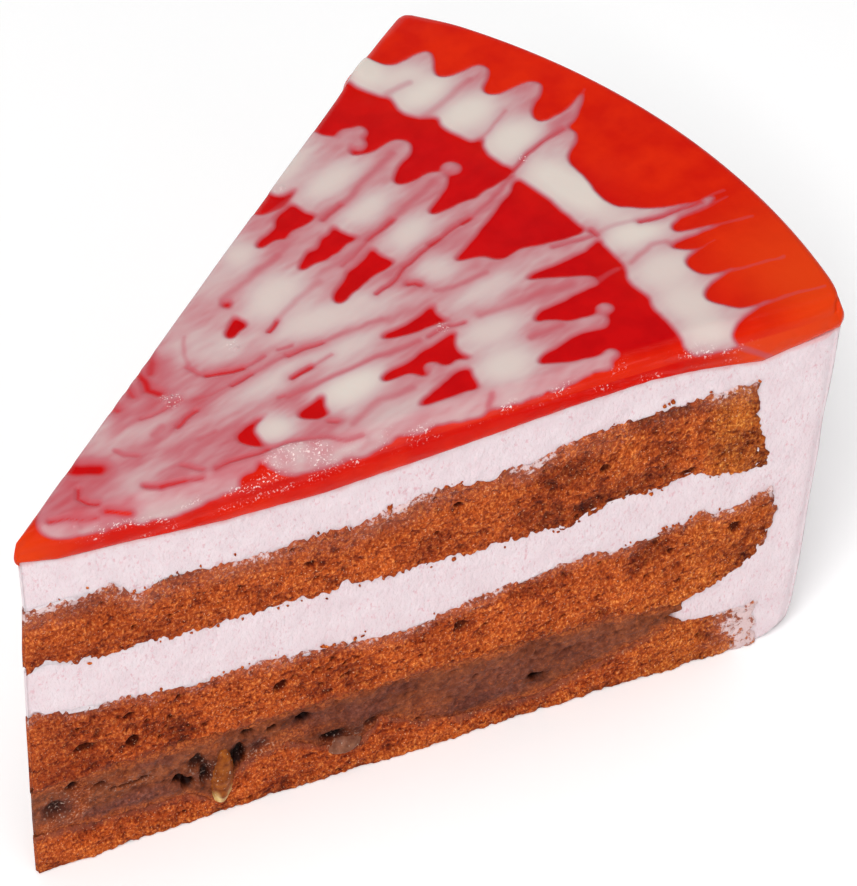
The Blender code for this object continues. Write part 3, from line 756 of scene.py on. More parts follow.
def top_tones(radius, to_low, to_high, to_end, points):
    """The top sponge: smeared with mousse along its top, golden at its outer end."""
    patch = ease(0.5 + 1.3 * noise(points, 8.0, 64))
    smear = 0.9 * near_edge(to_high + 1.0 * noise(points, 3.0, 65), 4.2) * (0.35 + 0.65 * patch)
    golden = 0.85 * ease((radius - 87.0) / 4.0) + 0.15 * ease((radius - 55.0) / 30.0)
    soak = 0.55 * near_edge(to_high + 0.8 * noise(points, 2.5, 64), 5.0) * (0.4 + 0.6 * patch)
    soak = soak * ease((72.0 - radius) / 20.0)
    end_dark = 0.9 * near_edge(to_end, 2.6) * ease(0.6 + 1.2 * noise(points, 1.6, 69))
    low_dark = 0.7 * ease((noise(points, 2.2, 70) - 0.1) / 0.4) * near_edge(to_low, 5.0)
    low_dark = low_dark * ease((radius - 84.0) / 4.0)
    dark = np.maximum(np.maximum(end_dark, low_dark), tip_darkness(radius, points))
    return {"soak": soak, "golden": golden, "smear": smear, "dark": dark}


FUDGE_WAVES = ((0.22, 4.2, 0), (0.20, 1.6, 1), (0.16, 0.7, 2), (0.12, 0.42, 4))
FUDGE_PITS = (-0.6, 1.9, 0.28, 0.75, 0.2)
FUDGE_RELIEF_GAIN = 0.6
FUDGE_DIVE = 0.8
FUDGE_TURN = 0.7
FUDGE_END_RISE = 0.25
FUDGE_END_FLARE = 2.2
FUDGE_END_WAVES = ((0.5, 1.6, 79), (0.3, 0.7, 80))
FUDGE_BLUR_ALONG = ((0.9, 1.6, 84), (0.4, 0.6, 85))
FUDGE_BLUR_UP = ((0.6, 1.5, 86), (0.3, 0.6, 87))
FILLING_COLUMNS = 440
FILLING_ROWS = 52
FILLING_ROW = 0.24

# Dark slits and hollows of the filling at the near cut: (radius, height, half width, half height, depth)
FILLING_SPOTS = (
    (12.2, 11.0, 2.2, 0.30, 1.2), (21.5, 8.4, 0.6, 2.4, 0.9), (25.3, 8.6, 0.6, 2.2, 0.9),
    (18.3, 8.6, 0.7, 0.8, 1.4), (19.4, 7.3, 0.8, 0.9, 1.4), (26.2, 9.4, 0.6, 1.9, 1.3),
    (20.6, 11.0, 0.9, 1.2, 0.8), (30.4, 12.6, 0.6, 0.5, 0.9), (34.6, 12.6, 0.9, 0.8, 1.0),
    (27.3, 13.2, 0.8, 0.6, 0.8), (29.0, 10.2, 1.2, 1.0, 0.5), (38.5, 7.4, 1.6, 0.9, 0.9),
    (43.5, 7.9, 0.9, 0.8, 0.7), (66.2, 6.6, 1.0, 0.5, 1.2), (3.0, 10.8, 1.3, 1.3, 0.7),
    (5.2, 13.8, 0.8, 0.6, 0.9), (8.6, 12.6, 0.7, 0.4, 0.7),
)
# Tones of the filling at the near cut: (radius, height, half width, half height, strength). Bluish brown
# parts come first, then dark ones, partly darker fudge and partly painted shade in the slits and hollows,
# wet ones, where painted highlights go, and reddish ones where crumb of the sponge is mixed in.
COOL_SPOTS = (
    (11.0, 7.6, 7.0, 1.3, 1.0), (4.0, 10.5, 2.0, 2.0, 0.7), (28.6, 10.0, 1.8, 1.6, 0.8),
    (36.0, 11.5, 3.0, 2.0, 0.7), (42.0, 10.5, 4.0, 2.2, 0.8), (57.0, 5.6, 8.0, 1.5, 0.9),
    (60.0, 9.0, 8.0, 3.0, 0.55), (72.0, 9.0, 7.0, 3.0, 0.4), (47.0, 12.4, 3.0, 1.2, 0.7),
    (15.5, 13.4, 3.0, 0.7, 0.7),
)
DARK_AND_SHADED_SPOTS = (
    (3.2, 10.6, 1.4, 1.6, 0.6), (21.6, 8.4, 1.0, 3.0, 0.9), (25.4, 9.2, 1.1, 2.6, 0.9),
    (39.6, 7.2, 3.2, 1.1, 0.8), (21.0, 9.6, 2.0, 2.4, 0.6), (27.0, 10.6, 1.6, 2.4, 0.5),
    (38.6, 7.6, 3.4, 2.0, 0.7), (44.0, 8.4, 2.0, 1.4, 0.6), (33.6, 12.8, 2.2, 1.0, 0.6),
    (55.0, 4.6, 5.0, 0.8, 0.5), (66.2, 6.6, 1.6, 0.9, 0.7), (8.0, 13.2, 4.0, 0.8, 0.35),
)
# Wet places, where painted highlights go
WET_GLINT_FILLING = (
    (4.5, 10.5, 2.6, 3.0, 1.0), (12.0, 11.2, 3.0, 1.2, 0.8), (8.5, 12.8, 2.0, 1.0, 0.8),
    (22.0, 9.0, 2.5, 2.5, 0.8), (28.6, 9.6, 2.2, 1.6, 0.9), (39.6, 6.4, 3.4, 1.6, 0.8),
)
RED_CRUMB_SPOTS = (
    (6.2, 12.6, 1.6, 2.4, 0.8), (5.4, 9.0, 1.0, 2.4, 0.8), (10.5, 13.0, 3.0, 0.8, 0.5),
    (33.0, 10.2, 3.0, 1.4, 0.8), (36.5, 9.4, 2.5, 0.8, 0.7), (50.0, 7.0, 3.0, 2.4, 0.5),
    (22.4, 12.8, 1.5, 1.2, 0.5), (2.0, 8.4, 1.6, 0.8, 0.8),
)


def toned(radius, height, spots):
    """Strongest of some soft spots at each place of the cut: a bell curve of the distance from each."""
    total = 0.0 * radius * height
    for place, level, half_width, half_height, strength in spots:
        away = ((radius - place) / half_width) ** 2 + ((height - level) / half_height) ** 2
        total = np.maximum(total, strength * np.exp(-0.7 * away ** 1.5))
    return total


# Pits of the sponges at the near cut: (radius, height, half width, half height, depth)
MIDDLE_SPOTS = ((12.8, 18.6, 0.75, 1.0, 1.6), (31.6, 20.2, 0.9, 1.0, 1.3), (7.0, 20.2, 1.2, 0.55, 1.2),
                (12.5, 23.6, 0.8, 0.4, 0.9), (93.0, 23.8, 0.8, 0.9, 1.0), (55.5, 21.0, 0.8, 0.8, 1.0))
TOP_SPOTS = ((36.0, 40.5, 0.6, 0.5, 0.9), (55.0, 43.0, 0.6, 0.5, 0.9), (74.5, 41.5, 0.6, 0.6, 0.9),
             (86.0, 36.5, 1.1, 0.5, 0.8))


def filling_low(radius, share):
    """The filling's underside: the bottom sponge's top, tucked into it at the cuts."""
    return bottom_top(radius, share) - TUCK * at_cuts(share, SPONGE_CUT)


def filling_high(radius, share):
    """The filling's top: the middle sponge's underside, tucked into it at the cuts."""
    return middle_bottom(radius, share) + TUCK * at_cuts(share, SPONGE_CUT)


def filling_end(height, share):
    """The filling's outer end: hollow where the mousse presses in between the sponges, and uneven."""
    lowest, highest = bottom_top(FILLING_END, share), middle_bottom(FILLING_END, share)
    across = np.clip((height - lowest) / (highest - lowest), 0.0, 1.0)
    places = np.stack(np.broadcast_arrays(0.0 * height, END_SPAN * share, height), axis=-1)
    flare = FUDGE_END_FLARE * np.abs(2.0 * across - 1.0) ** 2.5
    return FILLING_END - GAP + flare + waves(places, 0, FUDGE_END_WAVES)


def filling_tones(radius, share, height, points):
    """The filling's crumb, bluish, dark and wet places: as drawn at the near cut, by noise behind it."""
    blur_r = radius + waves(points, 0, FUDGE_BLUR_ALONG)
    blur_z = height + waves(points, 0, FUDGE_BLUR_UP)
    seen = share < 0
    edge = np.minimum(height - bottom_top(radius, share), middle_bottom(radius, share) - height)
    edge_crumb = 0.75 * near_edge(edge + 0.6 * noise(points, 1.2, 88), 1.3)
    return {
        "crumb": np.maximum(toned(blur_r, blur_z, RED_CRUMB_SPOTS) * seen, edge_crumb),
        "cool": np.where(seen, toned(blur_r, blur_z, COOL_SPOTS), 0.5 + 0.5 * noise(points, 5.0, 89)),
        "dark": np.where(seen, toned(blur_r, blur_z, DARK_AND_SHADED_SPOTS), 0.4 * ease(noise(points, 4.0, 90) * 2.0)),
        # wet marks where painted highlights go
        "wet": np.where(seen, toned(blur_r, blur_z, WET_GLINT_FILLING), 0.0),
    }


def make_filling(material):
    """The dark filling: its lattice between the two sponges, lumpy and pitted at both cuts."""
    radius, share, height, part = layer_grid(filling_low, filling_high, SPONGE_SHARES, FILLING_COLUMNS,
                                             FILLING_ROWS, filling_end)
    points = placed(radius, share, height)
    relief = np.full(radius.shape, RELIEF_MIDDLE)
    for index, side in ((0, -1.0), (-1, 1.0)):
        face = points[index]
        calm = ease(radius[index] / TIP_CALM)
        out = (waves(face, 81, FUDGE_WAVES) + dots(face, 84, FUDGE_PITS)) * calm
        if side < 0:
            out = out + spots_relief(radius[index], height[index], FILLING_SPOTS)
        relief[index] = RELIEF_MIDDLE + FUDGE_RELIEF_GAIN * out
        edge = np.minimum(part[index], 1.0 - part[index]) * (FILLING_ROWS - 1) * FILLING_ROW
        dive = FUDGE_DIVE * near_edge(edge, FUDGE_TURN) * calm
        out = out + FUDGE_END_RISE * near_edge(filling_end(height[index], share[index]) - radius[index], 3.0)
        points[index] = face + (FILLING_SET + out - dive)[..., None] * cut_outward(side)
    filled = np.ones((FILLING_COLUMNS - 1, FILLING_ROWS - 1), dtype=bool)
    attributes = {"relief": relief, **filling_tones(radius, share, height, points)}
    return make_lattice_piece("filling_fudge", points, filled, attributes, material, ("filling",))


# Mousse

MOUSSE_SHARES = np.concatenate([[-1.0, -0.985], np.linspace(-0.95, 0.95, 37), [0.985, 1.0]])
MOUSSE_COLUMNS = 290
WALL_COLUMNS = 18
MOUSSE_END_BACK = 2.0
MOUSSE_WAVES = ((0.14, 5.0, 92), (0.08, 1.0, 93))
MOUSSE_PITS = (-0.22, 1.5, 0.3, 0.55, 0.3)
MOUSSE_RIM_DIVE = 0.6
WALL_WAVES = ((0.22, 17.0, 94), (0.05, 3.0, 95))
WALL_STRETCH = np.array([1.0, 1.0, 2.2])
WEDGE_RECESS = 0.7
STAIN_REACH = 0.9


def tucked(outline, sign):
    """A layer's edge, drawn behind the sponge beside it at both cuts by TUCK."""
    def level(radius, share):
        height = outline(radius, share)
        inside = ease((sponge_end(height, share) - 0.6 - radius) / 1.5)
        return height + sign * TUCK * at_cuts(share, MOUSSE_CUT) * inside * ease(radius / 3.0)
    return level


def cover_top(radius, share):
    """The mousse's top: the glaze's underside, a gap below it between the cuts."""
    return glaze_underside(radius, share) - GAP * (np.abs(share) < 0.97)


# The mousse's blocks from the floor up: name, lower and upper edge, and rows of the lattice
MOUSSE_BLOCKS = (
    ("foot", floor_level, tucked(bottom_top, -1.0), 12),
    ("wedge", tucked(bottom_top, -1.0), tucked(middle_bottom, 1.0), 12),
    ("beside_middle", tucked(middle_bottom, 1.0), tucked(middle_top, -1.0), 16),
    ("cream", tucked(middle_top, -1.0), tucked(top_bottom, 1.0), 28),
    ("beside_top", tucked(top_bottom, 1.0), tucked(top_top, -1.0), 18),
    ("cover", tucked(top_top, -1.0), cover_top, 26),
)


def mousse_lattice():
    """Radius, share and height of the mousse's lattice, and the range of rows of each of its blocks.

    Every row runs from the tip to the sponges' end and on through the outer wall, and parts its block
    evenly from the lower edge to the upper one.
    """
    share = MOUSSE_SHARES[:, None]
    reach = np.linspace(0.0, 1.0, MOUSSE_COLUMNS)[None, :]
    skin = np.linspace(0.0, 1.0, WALL_COLUMNS)[None, 1:]
    outside = outer_radius(share)
    guess = np.full((1, 1), END_GUESS)
    heights, radii, ranges = [], [], {}
    for name, low, high, rows in MOUSSE_BLOCKS:
        start = len(heights)
        last = name == "cover"
        for part in np.linspace(0.0, 1.0, rows)[:rows if last else rows - 1]:
            middle = low(guess, share) * (1.0 - part) + high(guess, share) * part
            end = sponge_end(middle, share) - MOUSSE_END_BACK * at_cuts(share, MOUSSE_CUT)
            edge_height = low(outside, share) * (1.0 - part) + high(outside, share) * part
            wall = outside - along(WALL_LEAN, edge_height)
            inner = TIP_BLUNT + reach * (end - TIP_BLUNT)
            radius = np.concatenate([inner, end + skin * (wall - end)], axis=1)
            radii.append(radius)
            heights.append(low(radius, share) * (1.0 - part) + high(radius, share) * part)
        ranges[name] = slice(start, len(heights) - (1 if last else 0))
    height = np.stack(heights, axis=2)
    return np.stack(radii, axis=2), share[:, :, None] + 0.0 * height, height, ranges


def mousse_relief(face, radius, share, height, wedge):
    """How far a cut stands out: waves and bubbles, rounded off at the wall, set back at the wedge."""
    out = waves(face, 0, MOUSSE_WAVES) + dots(face, 91, MOUSSE_PITS)
    rim = near_edge(outer_radius(share) - along(WALL_LEAN, height) - radius, 2.0)
    out = MOUSSE_SET + out * ease(radius / TIP_CALM) - MOUSSE_RIM_DIVE * rim ** 2
    out[:, wedge] -= WEDGE_RECESS * ease((FILLING_END + 1.6 - radius[:, wedge]) / 1.2)
    return out


def make_mousse(material):
    """The mousse: two layers, a wedge beside the filling and the outer wall, as one comb of cells."""
    radius, share, height, ranges = mousse_lattice()
    points = placed(radius, share, height)
    wedge_start = int(np.searchsorted(radius[0, :, ranges["wedge"].start], FILLING_END - 1.0))
    filled = np.zeros((height.shape[1] - 1, height.shape[2] - 1), dtype=bool)
    filled[MOUSSE_COLUMNS - 1:, :] = True
    for name, first in (("wedge", wedge_start), ("cream", 0), ("cover", 0)):
        filled[first:, ranges[name]] = True
    cut = np.zeros(height.shape)
    for index, side in ((0, -1.0), (-1, 1.0)):
        out = mousse_relief(points[index], radius[index], share[index], height[index], ranges["wedge"])
        points[index] = points[index] + out[..., None] * cut_outward(side)
        cut[index] = 1.0
    wall = points[:, -1]
    angle = share[:, -1] * HALF_ANGLE
    tall, small = WALL_WAVES
    swell = (waves(wall * WALL_STRETCH, 0, (tall,)) + waves(wall, 0, (small,))) * ease(height[:, -1] / 3.0)
    points[:, -1] = wall + swell[..., None] * np.stack([np.cos(angle), np.sin(angle), 0 * angle], axis=-1)
    under = glaze_underside(radius, share) - height
    stain = 0.75 * near_edge(under + 0.35 * noise(points, 1.5, 96), STAIN_REACH)
    values = {"cut": cut, "stain": stain}
    return make_lattice_piece("mousse_foam", points, filled, values, material, ("mousse",))


# Glaze and icing

# Outlines on the plan, as (x from the tip, y), read from the photo: the outermost ring's outer side,
# from the far cut to the near one
OUTER_SIDE = (
    (87.0, 37.0), (87.0, 35.2), (87.3, 33.6), (87.8, 32.4), (88.5, 31.2), (89.4, 30.5), (91.0, 30.2),
    (93.4, 29.9), (94.3, 29.2), (93.9, 28.4), (93.0, 27.2), (92.1, 26.2), (91.6, 25.4), (91.8, 24.6),
    (92.6, 24.0), (94.2, 23.7), (96.6, 23.4), (97.5, 22.6), (97.4, 21.5), (96.4, 20.6), (95.2, 20.1),
    (94.1, 19.5), (93.6, 18.6), (94.0, 17.7), (94.8, 17.1), (96.4, 16.8), (98.4, 16.6), (99.7, 15.8),
    (100.1, 14.7), (99.3, 13.8), (97.6, 13.1), (96.0, 12.4), (94.9, 11.6), (94.4, 10.6), (94.8, 9.7),
    (95.6, 9.3), (97.2, 9.3), (99.0, 9.2), (100.8, 9.5), (103.4, 10.4), (102.2, 9.3), (100.0, 8.2),
    (98.2, 7.2), (96.4, 6.8), (96.8, 5.9), (96.5, 4.8), (95.6, 4.0), (94.0, 3.5), (92.8, 2.9), (91.9, 2.1),
    (91.7, 0.8), (91.5, -0.9), (91.0, -2.6), (90.4, -4.0), (90.1, -5.2), (90.0, -6.4), (90.1, -7.7),
    (90.7, -8.8), (91.6, -9.4), (92.6, -10.3), (93.6, -11.6), (95.0, -12.7), (97.0, -13.7), (101.5, -15.4),
    (98.8, -15.8), (96.4, -15.2), (94.0, -15.0), (92.8, -15.1), (92.1, -15.8), (92.2, -16.5), (93.2, -17.1),
    (95.2, -18.0), (99.0, -20.0), (96.0, -19.0), (93.0, -18.1), (90.6, -17.6), (89.4, -17.6), (90.2, -18.7),
    (91.3, -19.9), (94.5, -20.6), (91.2, -20.3), (89.6, -20.5), (88.8, -21.2), (88.5, -22.2), (88.8, -23.4),
    (89.5, -24.4), (90.6, -25.0), (93.4, -26.1), (96.5, -27.4), (92.4, -26.0), (90.0, -25.6), (88.4, -25.7),
    (87.2, -26.1), (86.4, -26.7), (86.2, -27.5), (86.5, -28.6), (87.1, -29.8), (87.7, -30.9), (88.8, -31.6),
    (91.0, -32.2), (95.5, -34.2), (91.0, -32.6), (88.2, -32.5), (86.4, -32.7), (85.1, -33.0), (84.2, -33.4),
    (83.6, -34.3), (83.4, -35.4), (83.3, -37.5),
)
# Its inner side and, from the near cut back to the far one, the teeth of the next ring: bare jelly between
BARE_BAND = (
    (82.0, 35.0), (82.0, 33.0), (82.2, 31.0), (82.7, 29.5), (83.0, 27.9), (83.6, 26.9), (84.2, 26.2),
    (83.7, 25.2), (83.4, 23.6), (83.5, 22.0), (84.2, 20.8), (85.2, 20.1), (86.3, 19.6), (85.4, 18.8),
    (85.0, 17.4), (85.1, 15.8), (85.4, 14.2), (85.7, 13.1), (87.4, 12.6), (86.4, 12.0), (85.8, 11.0),
    (85.4, 9.8), (85.3, 8.2), (85.5, 6.9), (86.2, 6.0), (85.4, 5.3), (84.0, 5.0), (82.0, 5.1), (80.0, 5.4),
    (78.9, 5.1), (77.8, 5.7), (76.0, 6.0), (74.0, 6.1), (73.0, 6.2), (72.6, 6.8), (73.2, 7.5), (74.8, 8.1),
    (76.5, 8.7), (78.0, 9.4), (78.9, 10.2), (79.2, 11.2), (78.9, 12.2), (78.2, 12.7), (76.5, 12.8),
    (74.8, 12.9), (73.8, 13.2), (73.4, 13.9), (74.1, 14.8), (75.2, 15.8), (76.3, 16.4), (78.0, 16.7),
    (79.3, 17.2), (80.1, 18.1), (80.1, 19.0), (79.3, 19.9), (78.0, 20.4), (76.6, 20.1), (75.3, 20.5),
    (74.2, 21.0), (73.3, 21.5), (73.5, 22.5), (74.4, 23.6), (74.1, 24.8), (74.0, 26.0), (73.2, 27.1),
    (72.9, 28.6), (72.6, 32.0),
)
BARE_MIDDLE = (
    (85.3, 4.2), (85.1, 3.0), (85.0, 1.4), (85.1, -0.8), (84.8, -3.0), (84.5, -5.4), (84.3, -7.2),
    (84.6, -8.5), (83.0, -8.2), (81.0, -7.7), (79.5, -7.0), (78.2, -6.5), (77.0, -5.7), (75.4, -5.4),
    (73.4, -5.2), (72.6, -4.7), (72.4, -3.9), (72.1, -3.0), (71.2, -2.4), (70.2, -1.9), (69.3, -1.5),
    (69.0, -1.1), (69.6, -0.7), (71.5, -0.3), (73.6, 0.1), (76.0, 0.9), (78.5, 1.7), (80.4, 2.4), (82.6, 3.0),
    (84.2, 3.9),
)
BARE_NEAR = (
    (84.9, -10.6), (84.3, -11.4), (83.8, -12.4), (83.5, -13.6), (83.3, -15.0), (83.2, -16.0), (82.6, -17.0),
    (81.8, -18.2), (81.4, -19.6), (81.3, -21.0), (81.4, -22.0), (80.6, -23.0), (80.1, -24.4), (79.9, -26.2),
    (79.6, -28.2), (78.9, -29.9), (78.2, -31.2), (78.2, -32.6), (77.5, -35.5), (69.0, -32.0), (70.0, -26.4),
    (72.1, -26.1), (71.6, -25.4), (69.8, -25.0), (67.8, -24.2), (65.8, -22.8), (64.1, -21.5), (63.6, -20.8),
    (64.5, -20.3), (67.0, -20.3), (69.5, -20.7), (71.5, -21.0), (73.0, -21.6), (74.2, -21.6), (74.8, -20.9),
    (74.3, -19.9), (73.2, -19.1), (72.0, -18.6), (71.0, -18.2), (70.6, -17.2), (69.6, -16.4), (68.6, -15.9),
    (68.4, -15.3), (69.1, -14.9), (70.3, -14.8), (71.5, -14.9), (73.0, -15.3), (75.0, -15.5), (77.2, -15.9),
    (78.8, -16.2), (79.3, -15.4), (78.4, -14.2), (77.3, -13.2), (76.5, -12.4), (75.5, -11.5), (74.3, -10.7),
    (73.2, -10.2), (72.9, -9.7), (73.6, -9.5), (75.0, -9.7), (77.0, -10.1), (79.2, -10.6), (81.2, -10.9),
    (83.2, -10.9),
)
# Bare jelly left between the inner rings
BARE_ISLANDS = (
    ((56.6, 24.5), (56.9, 21.8), (57.6, 20.9), (59.0, 20.5), (60.5, 20.5), (62.5, 21.2), (64.4, 21.7),
     (62.6, 21.9), (61.4, 22.2), (60.9, 23.2), (60.8, 25.0)),
    ((53.0, 17.4), (53.9, 18.0), (55.5, 18.1), (57.2, 18.3), (58.0, 19.1), (59.2, 19.7), (60.6, 19.9),
     (61.8, 20.2), (61.8, 18.8), (61.9, 17.6), (62.8, 16.5), (61.3, 16.3), (59.9, 16.2), (58.9, 15.9),
     (57.6, 16.1), (56.9, 15.5), (56.4, 16.3), (55.5, 16.7), (54.3, 16.8), (53.3, 16.9)),
    ((54.0, 10.8), (54.6, 11.4), (56.2, 12.0), (57.2, 12.7), (58.2, 12.7), (59.3, 12.8), (59.9, 13.6),
     (61.0, 13.3), (62.2, 13.8), (62.9, 14.0), (62.7, 12.5), (62.9, 11.0), (63.7, 9.8), (62.0, 10.1),
     (60.4, 10.0), (59.2, 9.5), (57.8, 9.7), (56.4, 10.2), (55.0, 10.3), (54.2, 10.4)),
    ((53.4, 3.9), (54.3, 4.9), (55.8, 5.3), (57.2, 5.8), (58.4, 6.4), (60.0, 6.5), (61.8, 6.9), (63.5, 7.7),
     (63.1, 6.2), (63.2, 5.0), (63.8, 3.7), (62.4, 3.6), (60.5, 3.8), (58.4, 3.6), (56.2, 3.3), (54.6, 2.9),
     (53.7, 3.1)),
    ((53.1, -4.8), (54.0, -4.4), (55.5, -4.6), (57.0, -5.0), (59.0, -5.2), (60.5, -5.1), (62.6, -4.9),
     (61.4, -5.7), (60.9, -6.6), (60.9, -7.6), (61.3, -8.6), (60.3, -8.0), (58.8, -7.5), (57.2, -7.0),
     (55.6, -6.4), (54.4, -5.8), (53.4, -5.3)),
    ((48.2, -10.0), (49.0, -9.6), (50.2, -9.5), (51.5, -9.8), (53.2, -10.0), (55.2, -9.7), (57.2, -10.0),
     (59.2, -10.0), (60.6, -10.0), (59.3, -11.0), (58.6, -12.0), (58.3, -13.4), (59.0, -14.8), (57.6, -14.4),
     (56.2, -14.0), (54.8, -13.2), (53.9, -12.6), (53.2, -13.3), (52.4, -13.3), (52.1, -12.2), (51.6, -11.4),
     (50.4, -10.9), (49.0, -10.8), (48.3, -10.4)),
    ((48.3, -16.1), (49.5, -15.7), (51.0, -15.5), (52.5, -15.5), (54.0, -15.4), (55.5, -15.1), (57.6, -15.7),
     (56.6, -16.8), (56.1, -18.0), (55.8, -19.1), (54.8, -18.6), (53.6, -18.2), (52.0, -17.6), (50.5, -17.1),
     (49.0, -16.7)),
    ((40.0, 8.2), (40.6, 9.0), (41.6, 9.4), (42.4, 9.8), (43.2, 10.6), (43.2, 9.0), (43.2, 7.6), (42.0, 7.7),
     (41.0, 7.5), (40.2, 7.5)),
    ((43.2, 13.1), (43.8, 12.7), (45.0, 12.4), (44.1, 12.0), (43.6, 11.3), (43.3, 12.2)),
    ((36.9, -7.6), (37.6, -7.1), (39.0, -7.1), (40.2, -7.2), (42.0, -6.5), (40.9, -7.9), (40.2, -8.8),
     (40.1, -10.2), (39.3, -9.6), (38.6, -9.9), (38.1, -9.0), (37.2, -8.5)),
    ((29.4, -5.2), (30.3, -4.6), (31.5, -4.6), (33.0, -4.5), (35.4, -4.7), (33.0, -5.1), (32.0, -5.5),
     (31.4, -6.4), (31.2, -7.6), (31.3, -9.0), (30.2, -7.8), (29.4, -6.6)),
    ((25.1, -10.6), (26.4, -10.2), (27.6, -10.8), (28.4, -10.0), (29.5, -9.6), (29.0, -11.2), (28.8, -12.6),
     (29.3, -14.0), (30.2, -15.5), (24.5, -14.5), (24.0, -12.2)),
)
# Lobes and pools where the icing is thick: x, y, half length, half width, turn in degrees, whiteness
POOLS = (
    (85.4, 31.8, 3.4, 2.6, 60, 1.0), (87.2, 27.4, 4.2, 2.6, 10, 0.94), (88.0, 23.6, 4.6, 2.6, 0, 0.98),
    (89.2, 17.4, 4.8, 2.9, -4, 0.98), (89.9, 9.8, 4.6, 3.2, 4, 0.97), (88.3, -1.5, 3.2, 7.4, 0, 1.0),
    (88.4, -13.0, 4.0, 3.1, -8, 0.98), (86.2, -20.0, 4.2, 3.3, -10, 1.0), (84.0, -26.2, 3.6, 3.8, -8, 1.0),
    (81.9, -31.3, 3.2, 2.5, -30, 1.0), (66.4, 25.2, 5.6, 1.7, 21, 0.97), (68.0, 19.8, 5.4, 2.5, 4, 1.0),
    (67.6, 13.0, 4.6, 2.4, 4, 0.98), (68.4, 6.2, 4.4, 2.4, 4, 0.98), (66.2, -0.8, 2.8, 2.4, -20, 0.90),
    (68.2, -7.5, 5.8, 2.0, -9, 0.86), (64.0, -12.8, 4.8, 2.7, -6, 0.96), (60.6, -18.6, 4.2, 3.2, -8, 1.0),
    (50.6, 17.4, 3.2, 2.4, 20, 0.95), (45.5, 16.0, 3.0, 1.8, 21, 0.76), (48.9, 8.9, 5.2, 4.0, 6, 0.99),
    (50.4, 2.4, 8.0, 2.5, -17, 0.95), (49.6, -3.3, 4.6, 1.8, -8, 0.90), (40.0, -1.3, 8.0, 1.5, -5, 0.80),
    (56.2, 0.6, 4.0, 2.2, -10, 0.86), (45.0, -8.4, 5.0, 3.3, -4, 0.97), (33.6, -7.3, 2.7, 2.4, 0, 0.90),
    (38.3, 7.3, 3.0, 2.6, 0, 0.80), (36.0, 9.4, 3.0, 3.4, 20, 0.62), (45.5, -14.6, 5.2, 2.0, -8, 0.76),
    (52.0, -20.4, 4.0, 1.5, -18, 0.58), (57.0, -23.0, 3.0, 1.4, -18, 0.62), (22.0, 3.2, 5.0, 1.3, -3, 0.58),
    (16.6, 3.4, 2.4, 2.2, 30, 0.55), (19.0, 6.6, 3.0, 0.9, 21, 0.60), (16.4, -3.0, 1.7, 3.6, 20, 0.58),
    (19.0, -2.4, 3.4, 1.0, -8, 0.52), (16.2, -8.2, 4.2, 1.5, -22, 0.66), (12.5, -6.6, 1.6, 1.1, -20, 0.66),
    (7.2, -5.2, 1.5, 0.9, 0, 0.60), (4.6, -2.0, 2.0, 1.6, -40, 0.46), (23.0, -10.4, 3.0, 1.1, -18, 0.42),
    (33.0, 12.4, 4.5, 1.1, 22, 0.50), (60.5, 3.2, 3.0, 1.0, 0, 0.30),
)
# The raised smear near the cut
SMEAR = (
    (29.2, -10.6), (30.6, -9.8), (32.4, -10.1), (34.2, -11.3), (36.0, -12.7), (37.4, -13.9), (38.4, -15.2),
    (40.2, -15.6), (42.0, -15.9), (43.3, -16.6), (43.6, -17.6), (42.6, -18.3), (41.0, -18.3), (39.2, -17.9),
    (37.6, -16.7), (35.5, -16.3), (33.6, -16.0), (31.6, -15.0), (30.0, -13.8), (29.2, -12.2),
)
